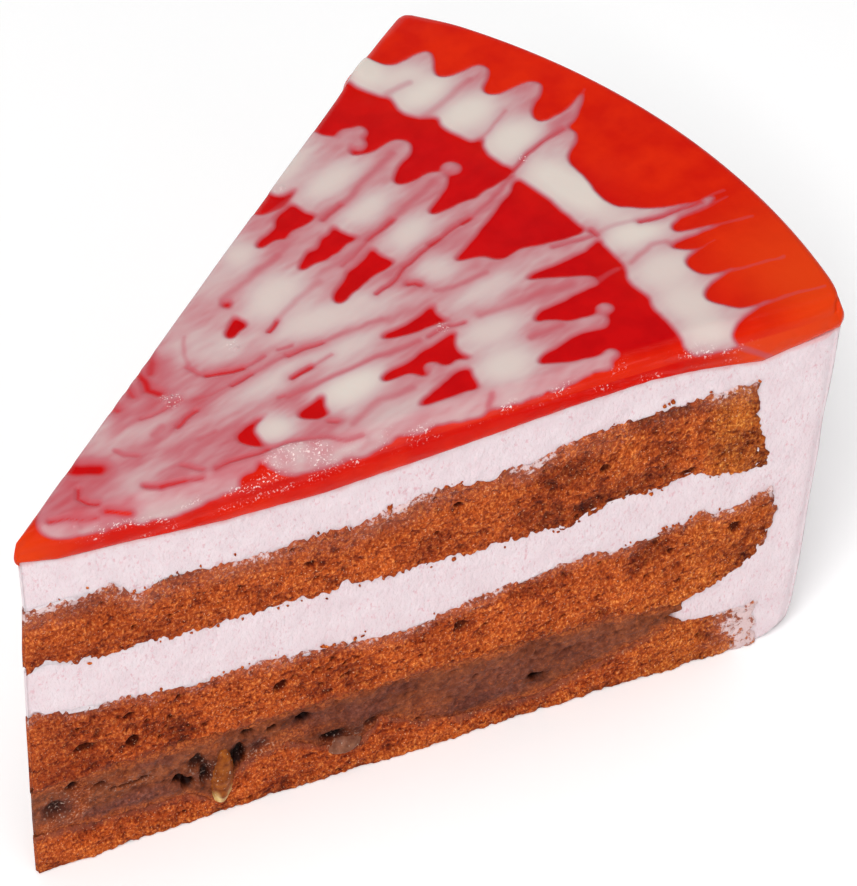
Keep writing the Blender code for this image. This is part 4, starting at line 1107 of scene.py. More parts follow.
# Lines drawn through the icing: strength, half width, then points. Red ones lay it bare, pale ones add to it.
RED_LINES = (
    (0.75, 0.34, (85.6, 5.4), (87.4, 5.9), (89.4, 6.4), (92.0, 6.8), (95.8, 6.8)),
    (0.35, 0.30, (85.7, 12.8), (88.0, 12.9), (90.0, 13.4), (93.0, 14.2)),
    (0.85, 0.32, (58.0, 1.1), (60.0, 1.2), (62.0, 1.6), (64.0, 2.4), (67.0, 2.5), (70.0, 2.8), (74.0, 3.0),
     (76.0, 3.1)),
    (0.95, 0.40, (68.6, 2.8), (70.2, 2.8)), (1.0, 0.40, (74.4, 3.0), (75.8, 3.1)),
    (0.55, 0.30, (76.0, 3.1), (80.0, 3.5), (85.0, 4.8)),
    (0.95, 0.42, (62.2, -0.1), (62.8, -0.6), (63.0, -1.4)),
    (0.75, 0.42, (62.6, 15.4), (64.4, 15.5), (66.0, 15.8)),
    (0.40, 0.5, (66.0, 15.8), (71.0, 17.0), (77.0, 18.4)),
    (0.55, 0.26, (58.4, 7.6), (61.0, 8.0), (64.0, 8.7)), (0.85, 0.36, (63.8, 8.7), (66.0, 9.0), (68.6, 9.4)),
    (0.35, 0.5, (68.6, 9.4), (73.0, 10.2), (77.0, 11.0)),
    (0.60, 0.32, (79.2, -8.0), (81.6, -8.8), (84.6, -9.9)), (0.80, 0.40, (84.8, -8.9), (84.9, -10.0)),
    (0.85, 0.36, (90.4, -12.0), (92.6, -12.9), (95.0, -13.9), (98.4, -14.7)),
    (0.25, 0.40, (85.2, -9.9), (88.0, -10.6), (90.6, -11.8)),
    (0.70, 0.30, (57.5, -8.7), (60.0, -8.9), (62.2, -9.7)),
    (0.35, 0.4, (63.6, -3.4), (66.0, -4.6), (70.0, -5.6)),
    (0.40, 0.6, (64.5, -10.4), (68.0, -11.6), (72.5, -12.8), (76.0, -14.0)),
    (0.45, 0.5, (66.0, -17.2), (70.0, -18.4)), (0.60, 0.30, (33.0, 7.4), (33.3, 5.6), (34.4, 4.6)),
    (1.0, 0.34, (33.9, 5.0), (35.0, 4.3), (36.8, 3.4), (38.0, 3.0)), (0.60, 0.28, (38.0, 3.0), (40.8, 2.5)),
    (0.30, 0.30, (33.1, 7.2), (34.2, 9.2), (36.2, 11.4)), (0.45, 0.26, (30.2, 2.9), (32.0, 2.2), (35.0, 1.9)),
    (0.85, 0.30, (35.0, 1.8), (38.0, 1.5)), (0.40, 0.28, (38.0, 1.5), (43.0, 0.6)),
    (0.80, 0.34, (43.0, 0.6), (45.4, 0.2), (47.8, -0.4)),
    (0.35, 0.4, (47.8, -0.4), (51.0, -1.3), (55.5, -2.4)), (0.55, 0.24, (42.8, 2.1), (44.4, 1.6)),
    (0.95, 0.30, (44.2, 5.3), (46.2, 5.8)), (0.30, 0.5, (46.2, 5.8), (50.0, 7.0), (54.5, 7.4)),
    (1.0, 0.34, (40.9, -2.5), (44.0, -2.6)), (0.40, 0.28, (44.0, -2.6), (47.0, -2.7)),
    (0.6, 0.3, (37.6, -3.9), (38.2, -4.1)),
    (0.50, 0.40, (38.4, -4.6), (44.0, -5.5), (50.0, -6.8), (56.0, -8.4)),
    (0.35, 0.5, (44.0, 13.2), (49.0, 13.6), (54.0, 14.4)),
    (0.85, 0.34, (24.6, -7.3), (26.4, -7.6), (28.6, -8.5), (31.0, -9.1)),
    (0.60, 0.34, (31.0, -9.1), (34.0, -10.4), (36.6, -12.4)),
    (0.50, 0.34, (36.6, -12.4), (38.6, -14.6), (40.4, -15.2)), (0.75, 0.40, (39.4, -11.0), (39.9, -11.6)),
    (0.92, 0.34, (5.2, -0.4), (7.0, -1.4), (8.0, -2.7), (9.4, -3.5)),
    (0.95, 0.36, (10.8, 1.2), (9.8, 0.2), (10.2, -1.2), (11.0, -2.0)),
    (1.05, 0.6, (11.0, -3.6), (11.8, -4.6), (12.6, -5.6)),
    (0.55, 0.34, (17.8, 3.0), (18.1, 1.6), (19.0, 0.4)), (0.80, 0.44, (16.7, -3.7), (17.6, -4.8)),
    (1.0, 0.46, (17.8, -5.0), (19.2, -5.8), (20.8, -6.4)), (0.85, 0.36, (20.8, -6.4), (22.4, -7.2)),
    (0.65, 0.36, (22.0, -4.2), (22.6, -5.6), (23.2, -6.3)), (0.85, 0.7, (22.2, 8.9), (22.5, 7.8)),
    (0.85, 0.6, (25.6, 10.5), (25.4, 8.2)), (1.0, 0.7, (28.4, 11.5), (28.1, 9.4), (27.4, 7.8), (27.8, 6.5)),
    (0.85, 0.9, (31.0, 12.6), (30.6, 10.8), (29.4, 9.8)), (0.90, 0.36, (25.8, 0.7), (27.4, 1.2), (29.2, 1.4)),
    (0.40, 0.4, (26.0, -2.6), (28.4, -2.8)), (0.60, 0.30, (23.4, 4.6), (26.0, 4.0), (28.6, 3.8)),
    (0.40, 0.4, (22.8, 1.7), (24.4, 2.0)), (1.10, 1.2, (11.8, 5.2), (12.8, 3.6), (14.4, 2.0)),
    (0.50, 0.4, (54.6, -21.9), (56.3, -20.7)), (0.35, 0.5, (41.0, -13.0), (46.0, -12.4), (50.0, -13.6)),
    (0.30, 0.5, (85.0, 20.6), (90.0, 21.0), (94.0, 21.8)), (0.30, 0.5, (84.4, 27.0), (88.0, 26.6)),
    (0.35, 0.4, (84.0, -16.4), (88.0, -16.0), (90.0, -17.0)),
)
PALE_LINES = (
    (0.55, 0.36, (100.0, 9.0), (103.6, 10.3)), (0.60, 0.34, (94.6, -12.6), (98.0, -14.2), (102.0, -15.2)),
    (0.58, 0.30, (95.0, -15.1), (98.0, -15.9), (101.5, -16.3)),
    (0.60, 0.32, (93.0, -17.4), (96.5, -18.8), (101.0, -20.8)), (0.52, 0.30, (91.0, -20.1), (94.8, -20.6)),
    (0.62, 0.34, (91.0, -25.4), (95.0, -27.1), (98.6, -28.3)),
    (0.62, 0.34, (89.0, -32.0), (93.4, -33.4), (98.2, -35.4)),
    (0.75, 0.50, (83.3, -36.0), (84.4, -38.0), (85.4, -39.8)), (0.60, 0.5, (79.0, -15.8), (82.2, -16.0)),
    (0.55, 0.8, (57.2, 20.6), (62.0, 21.0)), (0.60, 0.34, (79.0, -8.6), (82.0, -9.6), (84.8, -10.2)),
)
# Drops at the ends of the pulls: x, y, radius
DROPS = (
    (75.4, 24.3, 1.5), (75.2, 22.7, 1.0), (77.1, 24.2, 0.9), (80.5, 11.5, 1.1), (76.1, -19.9, 0.9),
    (74.0, -20.9, 1.1), (71.2, -25.9, 0.9), (58.3, 14.6, 1.6), (58.0, 13.6, 1.2), (60.8, 14.4, 1.2),
    (62.0, 14.6, 1.0), (58.8, 8.8, 1.1), (61.0, 8.6, 0.9), (54.2, -12.8, 0.9), (57.0, -14.6, 0.8),
)
# Where the icing ends beside the near cut: (x, y)
ICING_END = (
    (0, 2.0), (3.0, -1.5), (3.6, -3.2), (4.6, -4.4), (5.8, -5.0), (6.6, -5.8), (8.6, -5.6), (10.0, -6.2),
    (11.2, -6.7), (12.4, -7.8), (13.6, -8.4), (14.6, -9.3), (17.5, -9.9), (20.2, -10.1), (21.0, -10.8),
    (23.5, -11.6), (25.0, -12.2), (29.0, -13.0), (30.0, -14.3), (32.2, -15.8), (35.0, -16.8), (39.0, -18.1),
    (43.0, -18.5), (46.0, -19.4), (48.0, -20.1), (50.5, -21.8), (54.0, -22.7), (56.0, -23.6), (62.0, -25.9),
    (66.0, -26.6), (72.0, -28.8), (77.0, -32.0), (80.0, -34.2), (84.0, -36.0), (106.0, -46.0),
)
# The plan grid, the noises that shift and vary the drawing on it, and how far each field is softened
ICING_CELL = 0.2
ICING_X = np.arange(-3.0, 109.0, ICING_CELL)
ICING_Y = np.arange(-45.0, 45.0, ICING_CELL)
SHIFT_ALONG = ((0.22, 2.6, 41), (0.08, 1.0, 42))
SHIFT_ACROSS = ((0.20, 2.8, 43), (0.08, 1.1, 44))
FLOW_WAVES = ((0.20, 1.5, 46), (0.12, 0.6, 47))
ICING_END_WAVES = ((0.35, 1.6, 48), (0.30, 0.7, 49))
STREAK_WAVES = ((0.10, 0.7, 50), (0.06, 0.35, 51))
COVER_SOFTNESS = 0.36
WHITE_SOFTNESS = 0.62
SMEAR_SOFTNESS = 0.45
LINE_SPREAD = 1.25
# Whiteness of drops and pale lines, and how much a thick pool of the middle rings is dimmed
DROP_WHITE = 0.28
PALE_LINE_WHITE = 0.26
POOL_DIMMING = 0.88


def softened(field, reach):
    """The field blurred by a bell curve of one reach in millimetres, worked out from its waves."""
    across = np.fft.fftfreq(field.shape[0], ICING_CELL)[:, None]
    down = np.fft.rfftfreq(field.shape[1], ICING_CELL)[None, :]
    bell = np.exp(-2.0 * (math.pi * reach) ** 2 * (across ** 2 + down ** 2))
    return np.fft.irfft2(np.fft.rfft2(field) * bell, s=field.shape)


def pool_distance(x, y, place):
    """Squared distance from a pool's middle, 1 at its rim: an ellipse turned about its middle."""
    turn = math.radians(place[4])
    ahead = (x - place[0]) * math.cos(turn) + (y - place[1]) * math.sin(turn)
    aside = (y - place[1]) * math.cos(turn) - (x - place[0]) * math.sin(turn)
    return (ahead / place[2]) ** 2 + (aside / place[3]) ** 2


def rounded_outline(outline):
    """The closed outline with its corners cut twice, at a quarter and three quarters of each side."""
    points = np.array(outline, dtype=float)
    for _ in range(2):
        after = np.roll(points, -1, axis=0)
        points = np.stack([0.75 * points + 0.25 * after, 0.25 * points + 0.75 * after], axis=1).reshape(-1, 2)
    return points


def inside_outline(x, y, outline):
    """1 inside a closed outline, else 0: inside, a line from the point crosses an odd number of sides."""
    points = rounded_outline(outline)
    low, high = points.min(axis=0), points.max(axis=0)
    mask = np.zeros_like(x)
    place = np.nonzero((x > low[0]) & (x < high[0]) & (y > low[1]) & (y < high[1]))
    across, up = x[place][:, None], y[place][:, None]
    (x1, y1), (x2, y2) = points.T, np.roll(points, -1, axis=0).T
    crossed = (y1 > up) != (y2 > up)
    reach = x1 + (up - y1) * (x2 - x1) / np.where(y2 == y1, 1.0, y2 - y1)
    mask[place] = (crossed & (across < reach)).sum(axis=1) % 2
    return mask


def line_strength(x, y, lines):
    """Strength of drawn lines: a bell curve of the distance to each; the strongest counts."""
    total = np.zeros_like(x)
    for strength, width, *path in lines:
        path = np.array(path, dtype=float)
        low, high = path.min(axis=0) - 4.0 * width, path.max(axis=0) + 4.0 * width
        place = np.nonzero((x > low[0]) & (x < high[0]) & (y > low[1]) & (y < high[1]))
        spot = np.stack([x[place], y[place]], axis=-1)[:, None]
        start, step = path[:-1], np.diff(path, axis=0)
        part = np.clip(((spot - start) * step).sum(axis=-1) / (step ** 2).sum(axis=-1), 0.0, 1.0)
        away = np.linalg.norm(spot - start - part[..., None] * step, axis=-1).min(axis=1)
        total[place] = np.maximum(total[place], strength * np.exp(-(away / (LINE_SPREAD * width)) ** 2))
    return total


def widened(lines, factor):
    """The same drawn lines, wider by a factor."""
    return [(strength, factor * width, *path) for strength, width, *path in lines]


def drawn_cover(x, y):
    """1 where the outlines lay icing on the plan and 0 on bare jelly, with the tip left bare."""
    slice_ends = ((60.0, -45.0), (-3.0, -10.0), (-3.0, 10.0), (60.0, 45.0))
    cover = inside_outline(x, y, OUTER_SIDE + slice_ends)
    cover = cover * ease((x - 2.8 - 0.25 * (y + 1.2) ** 2 * (x < 8.0)) / 0.8)
    for outline in (BARE_BAND, BARE_MIDDLE, BARE_NEAR) + BARE_ISLANDS:
        cover = cover * (1.0 - inside_outline(x, y, outline))
    return cover


def drawn_white(x, y, spots):
    """Whiteness of the icing: flowing noise, marbled towards the tip, and the thick pools."""
    flow = np.stack([0.34 * x, y + 0.35 * noise(spots, 6.0, 45), 0 * x], axis=-1)
    marbled = ease((44.0 - x) / 12.0)
    white = 0.34 + waves(flow, 0, FLOW_WAVES) * (0.35 + 0.65 * marbled) - 0.10 * marbled
    white = white + 0.16 * ease((x - 80.0) / 3.0) - 0.22 * ease((x - 92.0) / 5.0) * (y > -8.0)
    white = white + 0.13 * np.exp(-((x - 34.0) / 9.0) ** 2) * ease((y - 2.0) / 4.0)
    for pool in POOLS:
        inside = ease(1.30 - 0.80 * np.sqrt(pool_distance(x, y, pool)))
        dimmed = 45.0 < pool[0] < 80.0 or pool[1] < -18.0
        white = white + (pool[5] * (POOL_DIMMING if dimmed else 1.0) - white) * inside
    return white


def icing_fields():
    """Cover and whiteness of the icing over the plan, and the raised smear, as three grids.

    Outlines, pools, drops and lines are drawn on the plan, shifted a little by noise, and the whole is
    softened, so that its edges round off and grow thin as wet icing does.
    """
    x, y = np.meshgrid(ICING_X, ICING_Y, indexing="ij")
    spots = np.stack([x, y, 0 * x], axis=-1)
    x = x + waves(spots, 0, SHIFT_ALONG)
    y = y + waves(spots, 0, SHIFT_ACROSS)
    cover = drawn_cover(x, y)
    white = drawn_white(x, y, spots)
    for place_x, place_y, size in DROPS:
        own = ease(1.6 - np.hypot(x - place_x, y - place_y) / size)
        white = np.where(own > cover, DROP_WHITE, white)
        cover = np.maximum(cover, own)
    smear = inside_outline(x, y, SMEAR)
    ragged_end = along(ICING_END, x) + waves(spots, 0, ICING_END_WAVES)
    cover = np.maximum(cover * ease(0.5 + (y - ragged_end) / 0.5), smear)
    soft_cover = softened(cover, COVER_SOFTNESS)
    soft_white = softened(cover * white, WHITE_SOFTNESS) / np.maximum(softened(cover, WHITE_SOFTNESS), 0.05)
    soft_smear = softened(smear, SMEAR_SOFTNESS)
    soft_white = soft_white + (0.52 + 0.16 * noise(spots, 1.3, 58) - soft_white) * soft_smear
    grain = np.stack([0.25 * x, y, 0 * x], axis=-1)
    soft_white = soft_white + waves(grain, 0, STREAK_WAVES) * ease((0.9 - soft_white) / 0.4)
    soft_white = soft_white * (1.0 - 0.55 * line_strength(x, y, widened(RED_LINES, 2.2)))
    soft_cover = soft_cover * (1.0 - 0.72 * line_strength(x, y, RED_LINES))
    pale = 0.60 * line_strength(x, y, widened(PALE_LINES, 1.5))
    soft_white = np.where(pale > soft_cover, PALE_LINE_WHITE, soft_white)
    soft_cover = np.maximum(soft_cover, pale)
    return np.clip(soft_cover, 0.0, 1.0), np.clip(soft_white, 0.0, 1.0), soft_smear


def read_field(field, x, y):
    """Values of a plan grid at places between its points: the four neighbours, weighted by nearness."""
    across = np.clip((x - ICING_X[0]) / ICING_CELL, 0, len(ICING_X) - 1.001)
    down = np.clip((y - ICING_Y[0]) / ICING_CELL, 0, len(ICING_Y) - 1.001)
    i, j = across.astype(int), down.astype(int)
    u, v = across - i, down - j
    near = field[i, j] * (1 - u) + field[i + 1, j] * u
    far = field[i, j + 1] * (1 - u) + field[i + 1, j + 1] * u
    return near * (1 - v) + far * v


# Rows and columns of the glaze's top: those that follow its rounded edges, and those between. The rounding
# grows to its full size at ROUND_FROM
ROUND_FROM = 9.0
NEAR_ROWS = 12
FAR_ROWS = 7
MIDDLE_ROWS = 202
RIM_COLUMNS = 8
TOP_COLUMNS = 336
BELT_ROWS = 12
UNDER_ROWS = 8
# How far the sides bulge out between the top and their lower edge
CUT_BULGE = 0.30
RIM_BULGE = 0.35
TIP_BULGE = 0.50
CORNER_BULGE = 0.35
# The far corner is rounder by this much within this reach, and the near one is drawn in on top and below
FAR_CORNER_ROUND = 0.9
FAR_CORNER_REACH = 9.0
CORNER_TUCK = 0.9
CORNER_TUCK_REACH = 5.0
CORNER_DRAW = 0.7
CORNER_DRAW_REACH = 7.0
# A lump of jelly hangs from the far cut at this radius: its rise, its push outwards and its two half widths
LUMP_RADIUS = 91.0
LUMP_RISE = 0.75
LUMP_PUSH = 0.9
LUMP_SPREAD_TOP = 3.2
LUMP_SPREAD_SIDE = 2.8
SMEAR_RISE = 0.42
ICING_BEADS = (0.42, 0.85, 0.60, 0.40, 0.3)
BEAD_STRETCH = np.array([0.8, 1.0, 1.0])
JELLY_TOP = HEIGHT - 0.12
# Height of the ridge along the near side, above which it rounds back to the top: (radius, height)
SIDE_RIDGE = ((0, 53.0), (60, 56.6), (70, 56.4), (80, 55.6), (88, 54.6), (97, 53.2), (106, 51.0))
RIDGE_PUSH = 0.30
# Direction in which the icing's drawing leans over the edges: it runs on down them as it was poured
LEAN = (0.676, 0.703)
# Small wet bumps on the icing, where painted highlights also go: x, y, radius
WET_AND_GLINT_SPOTS = (
    (7.0, -4.0, 1.8), (28.0, 4.7, 1.3), (39.6, 6.3, 0.9), (44.6, 6.0, 0.5), (88.2, 6.4, 0.7),
    (60.0, -8.6, 0.9), (62.3, 23.0, 0.8), (86.0, 17.2, 0.6), (79.6, -33.0, 1.4), (82.6, -34.4, 1.4),
)


def glaze_grid():
    """Radius and share over the glaze's top: rows follow both rounded cuts, columns the rounded rim."""
    turn_near = np.sin(np.linspace(0.0, math.pi / 2, NEAR_ROWS + 1))
    turn_far = np.sin(np.linspace(0.0, math.pi / 2, FAR_ROWS + 1))
    turn_rim = np.cos(np.linspace(0.0, math.pi / 2, RIM_COLUMNS + 1))
    inner = np.linspace(0.0, 1.0, TOP_COLUMNS + 1)
    share = np.repeat(np.linspace(-1.0, 1.0, NEAR_ROWS + MIDDLE_ROWS + FAR_ROWS)[:, None],
                      TOP_COLUMNS + RIM_COLUMNS + 1, axis=1)
    for _ in range(3):
        outside = outer_radius(share)
        shoulder = outside - GLAZE_RIM_ROUND
        reach = np.concatenate([inner, np.ones(RIM_COLUMNS)])[None, :]
        beyond = np.concatenate([0.0 * inner, 1.0 - turn_rim[1:]])[None, :]
        radius = TIP_BLUNT + reach * (shoulder - TIP_BLUNT) + beyond * GLAZE_RIM_ROUND
        room = np.minimum(1.0, radius / ROUND_FROM)
        near = room[:NEAR_ROWS + 1] * GLAZE_NEAR_ROUND * (1.0 - np.sqrt(1.0 - turn_near[:, None] ** 2))
        far = room[-FAR_ROWS - 1:][::-1] * GLAZE_FAR_ROUND * (1.0 - np.sqrt(1.0 - turn_far[:, None] ** 2))
        near = -1.0 + np.arcsin(near / radius[:NEAR_ROWS + 1]) / HALF_ANGLE
        far = 1.0 - np.arcsin(far / radius[-FAR_ROWS - 1:][::-1]) / HALF_ANGLE
        part = np.linspace(0.0, 1.0, MIDDLE_ROWS)[1:-1, None]
        between = near[-1:] + part * (far[-1:] - near[-1:])
        share = np.concatenate([near, between, far[::-1]])
    return radius, share


def glaze_edges(share, cut_away, rim_away):
    """How far the top has dropped at its rounded edges: quarter circles at both cuts and the rim."""
    far = share > 0
    cut_round = GLAZE_NEAR_ROUND + (GLAZE_FAR_ROUND - GLAZE_NEAR_ROUND) * ease(0.5 + share)
    cut_round = cut_round + FAR_CORNER_ROUND * near_edge(rim_away, FAR_CORNER_REACH) * far
    rim_round = GLAZE_RIM_ROUND + FAR_CORNER_ROUND * near_edge(cut_away, FAR_CORNER_REACH) * far
    cut_bend = np.clip(1.0 - cut_away / cut_round, 0.0, 1.0)
    rim_bend = np.clip(1.0 - rim_away / rim_round, 0.0, 1.0)
    bend = np.minimum(np.hypot(cut_bend, rim_bend), 1.0)
    return np.where(cut_away < rim_away, cut_round, rim_round) * (1.0 - np.sqrt(1.0 - bend ** 2))


def glaze_wet_and_glints(x, radius, near, lean_x, lean_y, smear):
    """How wet the icing is, which sets its coat and beads and where painted highlights go: along its end at
    the near cut, at a few spots and on the raised smear.
    """
    off_end = lean_y - along(ICING_END, lean_x)
    wet = np.where(near, near_edge(np.abs(off_end - 0.1), 1.3) * ease((x - 4.0) / 4.0), 0.0)
    wet = wet * ease((94.0 - radius) / 4.0)
    for spot_x, spot_y, size in WET_AND_GLINT_SPOTS:
        wet = np.maximum(wet, ease(1.4 - np.hypot(lean_x - spot_x, lean_y - spot_y) / size))
    return np.maximum(wet, 0.8 * smear)


def glaze_top(icing):
    """Radii, shares and points of the top, and its values for the material.

    The icing's drawing leans over the near edge, the icing and its beads rise over the jelly, and the
    near corner is drawn in along its diagonal.
    """
    cover_field, white_field, smear_field = icing
    radius, share = glaze_grid()
    near = share < 0
    x = radius * np.cos(share * HALF_ANGLE)
    y = radius * np.sin(share * HALF_ANGLE)
    places = np.stack([x, y, 0 * x], axis=-1)
    cut_away = from_cut(radius, share)
    rim_away = np.maximum(outer_radius(share) - radius, 0.0)
    drop = glaze_edges(share, cut_away, rim_away)
    flat = ease(1.0 - drop)
    low = np.where(near, drop, 0.3 * drop)
    lean_x = x - LEAN[0] * low
    lean_y = y - LEAN[1] * low
    cover = read_field(cover_field, lean_x, lean_y)
    white = read_field(white_field, lean_x, lean_y)
    smear = read_field(smear_field, lean_x, lean_y)
    wet = glaze_wet_and_glints(x, radius, near, lean_x, lean_y, smear)
    uneven = 0.10 * (swells(radius, share, 0.4) - 1.0) * flat
    rise = 0.26 * ease((cover - 0.30) / 0.6) * flat + 0.10 * ease((white - 0.5) / 0.5) * cover * flat
    beading = wet * dots(places * BEAD_STRETCH, 52, ICING_BEADS)
    height = JELLY_TOP - drop + uneven + rise + beading + SMEAR_RISE * smear * flat
    lump = np.exp(-((radius - LUMP_RADIUS) / LUMP_SPREAD_TOP) ** 2) * near_edge(cut_away, 3.5) * (share > 0)
    height = height + LUMP_RISE * lump + 0.05 * noise(places, 6.0, 53) * flat
    thin = near_edge(cut_away, 2.6) * ease(0.9 - 1.5 * (share > 0))
    thin = np.maximum(np.maximum(thin, ease((radius - 80.0) / 20.0)), near_edge(radius, 8.0))
    tuck = CORNER_TUCK * np.clip(1.0 - (cut_away + rim_away) / CORNER_TUCK_REACH, 0.0, 1.0) ** 2 * near
    tones = {
        "cover": cover,
        "white": white,
        "thin": np.clip(thin + 0.10 * noise(places, 7.0, 54), 0.0, 1.0),
        "orange": ease((x - 84.0) / 14.0) * ease((-y - 12.0) / 22.0) + near_edge(radius, 10.0),
        "wet": np.maximum(wet, 0.30 * ease((cover - 0.6) / 0.3)),
        # glint: where pale specks are painted as highlights on the top
        "glint": np.clip(wet, 0.0, 1.0) * ease(0.45 + 1.6 * noise(places, 2.2, 56)),
    }
    return radius, share, placed(radius, share, height) - tuck[..., None] * near_corner_outward(), tones


def glaze_belt(radius, share, top, ring, sides, icing):
    """Rows of points down the sides from the top's border to the underside, and their values.

    A row is a share of the way from the border to the lower edge, pushed out by a half sine wave, with
    a ridge below the rounding of the near cut and a lump at the far one.
    """
    near, far, rim, tip = sides
    cover_field, white_field, _ = icing
    outward = np.where(near[:, None], cut_outward(-1.0), np.where(far[:, None], cut_outward(1.0), 0.0))
    radial = np.stack([np.cos(share * HALF_ANGLE), np.sin(share * HALF_ANGLE), 0 * share], axis=-1)
    outward[rim] = radial[rim]
    outward[tip] = -np.array([1.0, 0.0, 0.0])
    rim_away = np.maximum(outer_radius(share) - radius, 0.0)
    corner = near_edge(from_cut(radius, share) + rim_away, CORNER_DRAW_REACH) * (share < 0)
    lower = placed(radius, share, glaze_underside(radius, share))
    lower = lower - CORNER_DRAW * corner[:, None] * near_corner_outward()
    parts = np.linspace(1.0, 0.0, BELT_ROWS + 1)[1:, None]
    belt = top.reshape(-1, 3)[ring][None] * parts[..., None] + lower[None] * (1.0 - parts[..., None])
    level = belt[..., 2]
    ridge = along(SIDE_RIDGE, radius)[None]
    roll = np.sin(math.pi * parts ** 0.8)
    strip = RIDGE_PUSH * ease((ridge - level) / 0.5) * ease((97.0 - radius) / 7.0) * near
    size = np.where(rim, RIM_BULGE, np.where(tip, TIP_BULGE, CUT_BULGE)) + CORNER_BULGE * corner
    far_lump = LUMP_PUSH * np.exp(-((radius - LUMP_RADIUS) / LUMP_SPREAD_SIDE) ** 2) * far
    push = (size + far_lump) * roll + strip * ease(radius / 20.0) * roll ** 0.3
    push = push + 0.09 * noise(belt, 2.2, 55) * roll + 0.10 * noise(belt, 0.8, 59) * roll * near
    belt = belt + push[..., None] * outward[None]
    drop_x = belt[..., 0] + ORIGIN[0] - LEAN[0] * (JELLY_TOP - level)
    drop_y = belt[..., 1] + ORIGIN[1] - LEAN[1] * (JELLY_TOP - level)
    wet = near_edge(np.abs(drop_y - along(ICING_END, drop_x)), 1.0) * near * ease((drop_x - 4.0) / 4.0)
    wet = np.maximum(wet, 0.7 * near_edge(np.abs(level - ridge), 0.5) * near) * ease((95.0 - radius) / 5.0)
    deep_side = 0.35 + 0.65 * ease((56.4 - level) / 3.6) * ease(1.2 - np.abs(radius - 45.0) / 60.0)
    ends_thin = np.maximum(near_edge(radius, 18.0), ease((radius - 86.0) / 8.0))
    orange = near_edge(radius, 14.0) + ease((radius - 82.0) / 10.0) * near
    orange = orange + ease((-drop_y - 12.0) / 22.0) * rim
    return belt, {
        "cover": read_field(cover_field, drop_x, drop_y) * near,
        "white": read_field(white_field, drop_x, drop_y),
        "thin": np.where(near, np.maximum(deep_side, ends_thin), 0.9),
        "orange": orange,
        "wet": wet,
        # glint: where pale specks are painted as highlights on the sides
        "glint": 0.8 * wet * ease(0.4 + 1.6 * noise(belt, 2.0, 57)),
    }


def glaze_under(radius, rows, columns, belt_number, first):
    """Points and faces of the plain underside: a coarse sheet between the lower edges, fanned to its ends."""
    last = belt_number[-1]
    corner = columns + rows - 2
    near_line = last[:columns]
    rim_line = last[columns - 1:corner + 1]
    far_line = last[corner:corner + columns][::-1]
    blunt_line = np.concatenate([near_line[:1], last[corner + columns:][::-1], far_line[:1]])
    share = np.linspace(-1.0, 1.0, UNDER_ROWS + 2)[1:-1, None] * 0.9
    radius = radius[rows // 2, 1:-1][None, :] + 0.0 * share
    points = placed(radius, share + 0.0 * radius, glaze_underside(radius, share))
    number = first + np.arange(radius.size).reshape(radius.shape)
    sheet = np.concatenate([near_line[None, 1:-1], number, far_line[None, 1:-1]])
    quads = np.stack([sheet[:-1, :-1], sheet[1:, :-1], sheet[1:, 1:], sheet[:-1, 1:]], axis=-1).reshape(-1, 4)
    fans = [end_fan(rim_line, sheet[:, -1]), end_fan(blunt_line, sheet[:, 0])[:, ::-1]]
    return points.reshape(-1, 3), quads, fans


def make_glaze(material):
    """The jelly with its icing: a fine top, rounded at cuts and rim, sides, and a plain underside."""
    icing = icing_fields()
    radius, share, top, top_tones = glaze_top(icing)
    rows, columns = radius.shape
    number = np.arange(rows * columns).reshape(rows, columns)
    ring = np.concatenate([number[0, :], number[1:, -1], number[-1, -2::-1], number[-2:0:-1, 0]])
    place = np.arange(len(ring))
    ring_radius = radius.reshape(-1)[ring]
    near = place < columns
    far = (place >= columns + rows - 2) & (place < 2 * columns + rows - 2)
    sides = (near, far, ~(near | far) & (ring_radius > 50.0), ring_radius < 2.0)
    belt, belt_tones = glaze_belt(ring_radius, share.reshape(-1)[ring], top, ring, sides, icing)
    belt_number = number.size + np.arange(belt[..., 0].size).reshape(belt.shape[:2])
    loops = np.concatenate([ring[None], belt_number])
    beside = np.roll(loops, -1, axis=1)
    quads = [np.stack([number[:-1, :-1], number[:-1, 1:], number[1:, 1:], number[1:, :-1]], axis=-1),
             np.stack([loops[:-1], loops[1:], beside[1:], beside[:-1]], axis=-1)]
    under, under_quads, fans = glaze_under(radius, rows, columns, belt_number, number.size + belt_number.size)
    points = np.concatenate([top.reshape(-1, 3), belt.reshape(-1, 3), under])
    values = {}
    for label, tone in top_tones.items():
        beneath = np.full(len(under), 1.0 if label == "thin" else 0.0)
        values[label] = np.concatenate([tone.reshape(-1), belt_tones[label].reshape(-1), beneath])
    values["orange"] = np.clip(values["orange"], 0.0, 1.0)
    faces = [group.reshape(-1, 4) for group in quads] + [under_quads] + fans
    return make_piece("glaze_jelly", points, faces, values, material, ("glaze",))


def end_fan(line, spine):
    """Triangles that close the gap between a fine line and a coarse one that runs beside it.

    Each fine segment joins the nearest coarse point, and each coarse segment the fine point between.
    """
    place = np.arange(len(line)) / (len(line) - 1) * (len(spine) - 1)
    nearest = np.rint(place).astype(int)
    fans = np.stack([line[:-1], line[1:], spine[nearest[:-1]]], axis=-1)
    change = np.flatnonzero(np.diff(nearest))
    steps = np.stack([line[change + 1], spine[nearest[change + 1]], spine[nearest[change]]], axis=-1)
    return np.concatenate([fans, steps])


# Nuts and crumbs


NUT_DEPTH = 0.35
NUT_ROWS, NUT_COLUMNS = 60, 90
NUT_DENTS = ((0.10, 1.4, 0), (0.05, 0.5, 1))
NUT_PINCH = 0.22
NUT_BLUNTNESS = -0.14
CRUMB_ROWS, CRUMB_COLUMNS = 5, 7


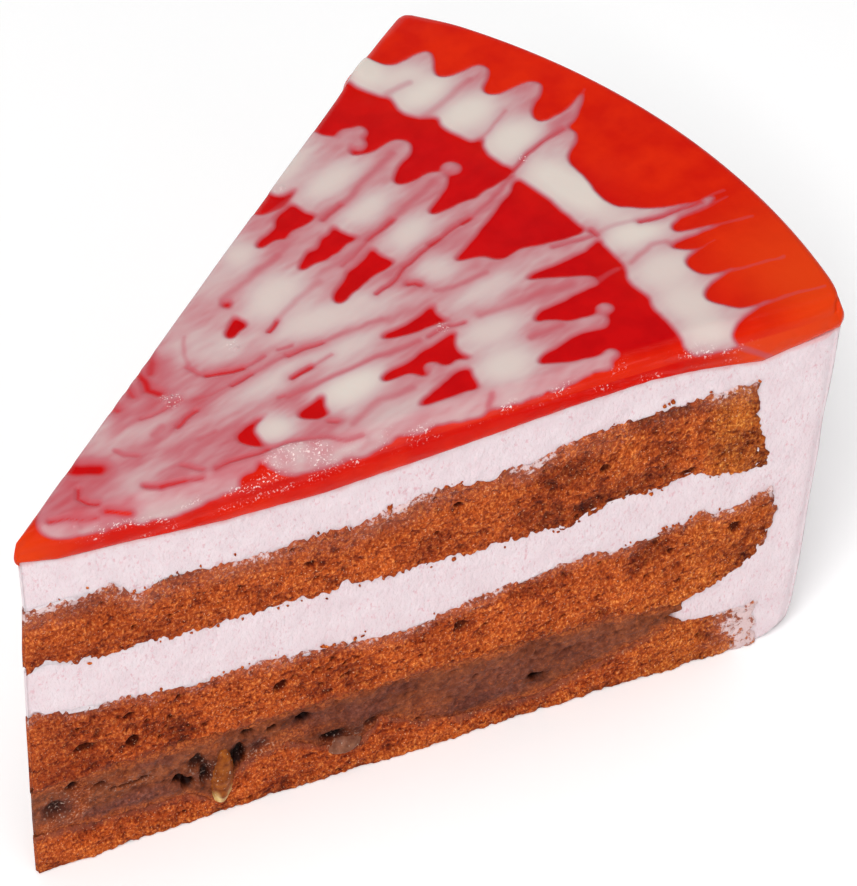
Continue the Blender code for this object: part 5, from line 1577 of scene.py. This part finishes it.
def unit_ball(rows, columns):
    """Points of a ball of radius 1 in rings from below, then both poles, and the quads between its rings."""
    up = np.linspace(-math.pi / 2, math.pi / 2, rows + 1)[1:-1, None]
    turn = np.linspace(0.0, 2 * math.pi, columns, endpoint=False)[None, :]
    rings = np.broadcast_arrays(np.cos(up) * np.cos(turn), np.cos(up) * np.sin(turn), np.sin(up))
    number = np.arange((rows - 1) * columns).reshape(rows - 1, columns)
    beside = np.roll(number, -1, axis=1)
    body = np.stack([number[:-1], beside[:-1], beside[1:], number[1:]], axis=-1).reshape(-1, 4)
    rings = np.stack(rings, axis=-1).reshape(-1, 3)
    return np.concatenate([rings, [[0, 0, -1.0]], [[0, 0, 1.0]]]), number, body


def make_nut(name, node, radius, level, half_sizes, turn, pale_from, most_pale, seed, material):
    """A chopped nut: a ball stretched to three half sizes, pinched above, dented by noise."""
    ball, number, body = unit_ball(NUT_ROWS, NUT_COLUMNS)
    sizes = np.array(half_sizes)
    dents = 1.0 + waves(ball * sizes, seed, NUT_DENTS)
    up = ball[:, 2:]
    ball[:, :2] *= (1.0 - NUT_PINCH * up) * np.maximum(1.0 - up ** 2, 0.02) ** NUT_BLUNTNESS
    local = ball * sizes * dents[:, None]
    tilt = math.radians(turn)
    r = radius + local[:, 0] * math.cos(tilt) + local[:, 2] * math.sin(tilt)
    z = level - local[:, 0] * math.sin(tilt) + local[:, 2] * math.cos(tilt)
    inward = NUT_DEPTH + local[:, 1]
    x = r * math.cos(HALF_ANGLE) + inward * math.sin(HALF_ANGLE) - ORIGIN[0]
    y = -r * math.sin(HALF_ANGLE) + inward * math.cos(HALF_ANGLE) - ORIGIN[1]
    points = np.stack([x, y, z], axis=-1)
    caps = []
    for pole, ring, step in ((len(ball) - 2, number[0], -1), (len(ball) - 1, number[-1], 1)):
        even, odd, after = ring[::2], ring[1::2], np.roll(ring[::2], -1)
        caps.append(np.stack([0 * even + pole, *(even, odd, after)[::step]], axis=-1))
    pale = most_pale * ease((pale_from - ball[:, 2] + 0.25 * noise(ball, 0.5, seed + 2)) / 0.5)
    tones = {"pale": pale, "soaked": 0 * pale + 1.0 - most_pale}
    return make_piece(name, points, [body, *caps], tones, material, (node,))


def make_crumbs(name, edges, count, seed, material):
    """Loose crumbs dragged into the mousse beside a sponge's edge: small dented balls at random places."""
    rng = np.random.default_rng(seed)
    ball, number, body = unit_ball(CRUMB_ROWS, CRUMB_COLUMNS)
    edge = rng.integers(0, len(edges), count)
    side = np.where(rng.random(count) < 0.6, -1.0, 1.0)
    radius = rng.uniform(2.0, 96.0, count)
    away = np.minimum(rng.exponential(0.22, count), 1.2)
    height = np.zeros(count)
    for index, (outline, sign) in enumerate(edges):
        height = np.where(edge == index, outline(radius, side) + sign * away, height)
    size = rng.uniform(0.10, 0.26, count) * np.where(rng.random(count) < 0.08, 1.6, 1.0)
    middle = placed(radius, side, height)
    outward = np.where((side < 0)[:, None], cut_outward(-1.0), cut_outward(1.0))
    middle = middle + outward * (MOUSSE_SET + 0.25 * size)[:, None]
    squash = rng.uniform(0.5, 1.5, (count, 1, 3))
    dents = 1.0 + 0.55 * noise(ball[None] * 1.3 + 7.0 * np.arange(count)[:, None, None], 1.0, seed)
    points = (middle[:, None] + ball[None] * dents[..., None] * squash * size[:, None, None]).reshape(-1, 3)
    beside = np.roll(number, -1, axis=1)
    low = np.stack([0 * number[0] + len(ball) - 2, beside[0], number[0]], axis=-1)
    high = np.stack([0 * number[0] + len(ball) - 1, number[-1], beside[-1]], axis=-1)
    shift = (len(ball) * np.arange(count))[:, None, None]
    groups = [(body[None] + shift).reshape(-1, 4), (np.concatenate([low, high])[None] + shift).reshape(-1, 3)]
    relief = np.repeat(rng.uniform(0.42, 0.62, count), len(ball))
    tones = {"relief": relief, "golden": 0 * relief + 0.2}
    tones.update({label: 0 * relief for label in ("soak", "smear", "dark")})
    return make_piece(name, points, groups, tones, material)


# Floor, lights and camera, in metres. Lights: name, azimuth, elevation, distance, size and power
FLOOR_SIZE = 6.0
FLOOR_DROP = 0.0002
FLOOR_GLOW = 0.09
FLOOR_PAPER = ((30.0, 2.0, 0.5), ((0.0, (0.975, 0.975, 0.975)), (1.0, (0.985, 0.985, 0.985))))
WHITE = (1.0, 1.0, 1.0, 1.0)
WORLD_STRENGTH = 0.26
LIGHTS = (("key", -62.0, 54.0, 1.1, 0.5, 6.2), ("front", -20.0, 32.0, 1.2, 0.8, 1.5),
          ("above", 0.0, 87.0, 1.1, 0.8, 3.0), ("back", 150.0, 20.0, 1.3, 0.9, 2.6),
          ("spark", -48.0, 40.0, 1.0, 0.07, 0.5))
# The camera: its direction, its place in millimetres from the tip, and its lens, which was fitted as
# PHOTO_FOCAL pixels on a photo PHOTO_HEIGHT pixels high
VIEW_AZIMUTH = -43.905
VIEW_ELEVATION = 45.705
VIEW_EYE = (-180.8, -256.1, 392.7)
PHOTO_FOCAL = 4000.0
PHOTO_HEIGHT = 886.0
SENSOR = 36.0
NEAREST_SEEN = 0.01


def direction(azimuth, elevation):
    """Unit vector towards an azimuth and elevation in degrees; azimuth 0 is -Y."""
    turn = math.radians(azimuth)
    rise = math.radians(elevation)
    return Vector((math.sin(turn) * math.cos(rise), -math.cos(turn) * math.cos(rise), math.sin(rise)))


def lay_floor():
    """The pale floor under the slice."""
    bpy.ops.mesh.primitive_plane_add(size=FLOOR_SIZE, location=(0.0, 0.0, -FLOOR_DROP))
    ground = bpy.context.object
    ground.name = "floor"
    paint, tree, shader, place = new_material("floor_paper")
    tree.links.new(mottled(tree, place, FLOOR_PAPER), shader.inputs["Base Color"])
    set_levels(shader, Roughness=0.9, Specular_IOR_Level=0.0, Emission_Color=WHITE,
               Emission_Strength=FLOOR_GLOW)
    ground.data.materials.append(paint)


def light_studio():
    """Even light from all round, and soft round lamps that face the slice."""
    world = bpy.data.worlds.new("studio")
    bpy.context.scene.world = world
    world.use_nodes = True
    sky = world.node_tree.nodes["Background"].inputs
    sky["Color"].default_value = WHITE
    sky["Strength"].default_value = WORLD_STRENGTH
    for name, azimuth, elevation, distance, size, power in LIGHTS:
        lamp = bpy.data.lights.new(name, "AREA")
        lamp.shape = "DISK"
        lamp.size = size
        lamp.energy = power
        source = bpy.data.objects.new(name, lamp)
        towards = direction(azimuth, elevation)
        source.location = towards * distance
        source.rotation_euler = towards.to_track_quat("Z", "Y").to_euler()
        bpy.context.scene.collection.objects.link(source)


def place_camera():
    """The camera at the photographed angle."""
    data = bpy.data.cameras.new("view")
    data.sensor_width = SENSOR
    data.sensor_fit = "AUTO"
    data.lens = PHOTO_FOCAL / PHOTO_HEIGHT * SENSOR
    data.clip_start = NEAREST_SEEN
    camera = bpy.data.objects.new("view", data)
    x, y, z = VIEW_EYE
    camera.location = [(x - ORIGIN[0]) * METRE, (y - ORIGIN[1]) * METRE, z * METRE]
    camera.rotation_euler = direction(VIEW_AZIMUTH, VIEW_ELEVATION).to_track_quat("Z", "Y").to_euler()
    bpy.context.scene.collection.objects.link(camera)
    bpy.context.scene.camera = camera


# Edges beside which crumbs lie in the mousse: a sponge's edge, and the side of it that the mousse is on
MOUSSE_EDGES = ((middle_top, 1.0), (top_bottom, -1.0), (top_top, 1.0))

sponge = sponge_material()
make_sponge("sponge_bottom", floor_level, bottom_top, 0.0, 0.5, 100, (), bottom_tones, sponge)
make_sponge("sponge_middle", middle_bottom, middle_top, 0.6, 1.0, 200, MIDDLE_SPOTS, middle_tones, sponge)
make_sponge("sponge_top", top_bottom, top_top, 1.0, 1.0, 300, TOP_SPOTS, top_tones, sponge)
make_crumbs("loose_crumbs", MOUSSE_EDGES, 120, 501, sponge)
make_filling(filling_material())
make_mousse(mousse_material())
make_glaze(glaze_material())
nut = nut_material()
make_nut("nut_long_piece", "nut_long", 23.4, 6.9, (1.5, 1.5, 4.6), 6.0, -0.42, 1.0, 400, nut)
make_nut("nut_small_piece", "nut_small", 39.6, 5.6, (2.3, 1.5, 1.2), -8.0, 0.6, 0.12, 410, nut)
lay_floor()
light_studio()
place_camera()
bpy.context.scene.view_settings.view_transform = "Standard"
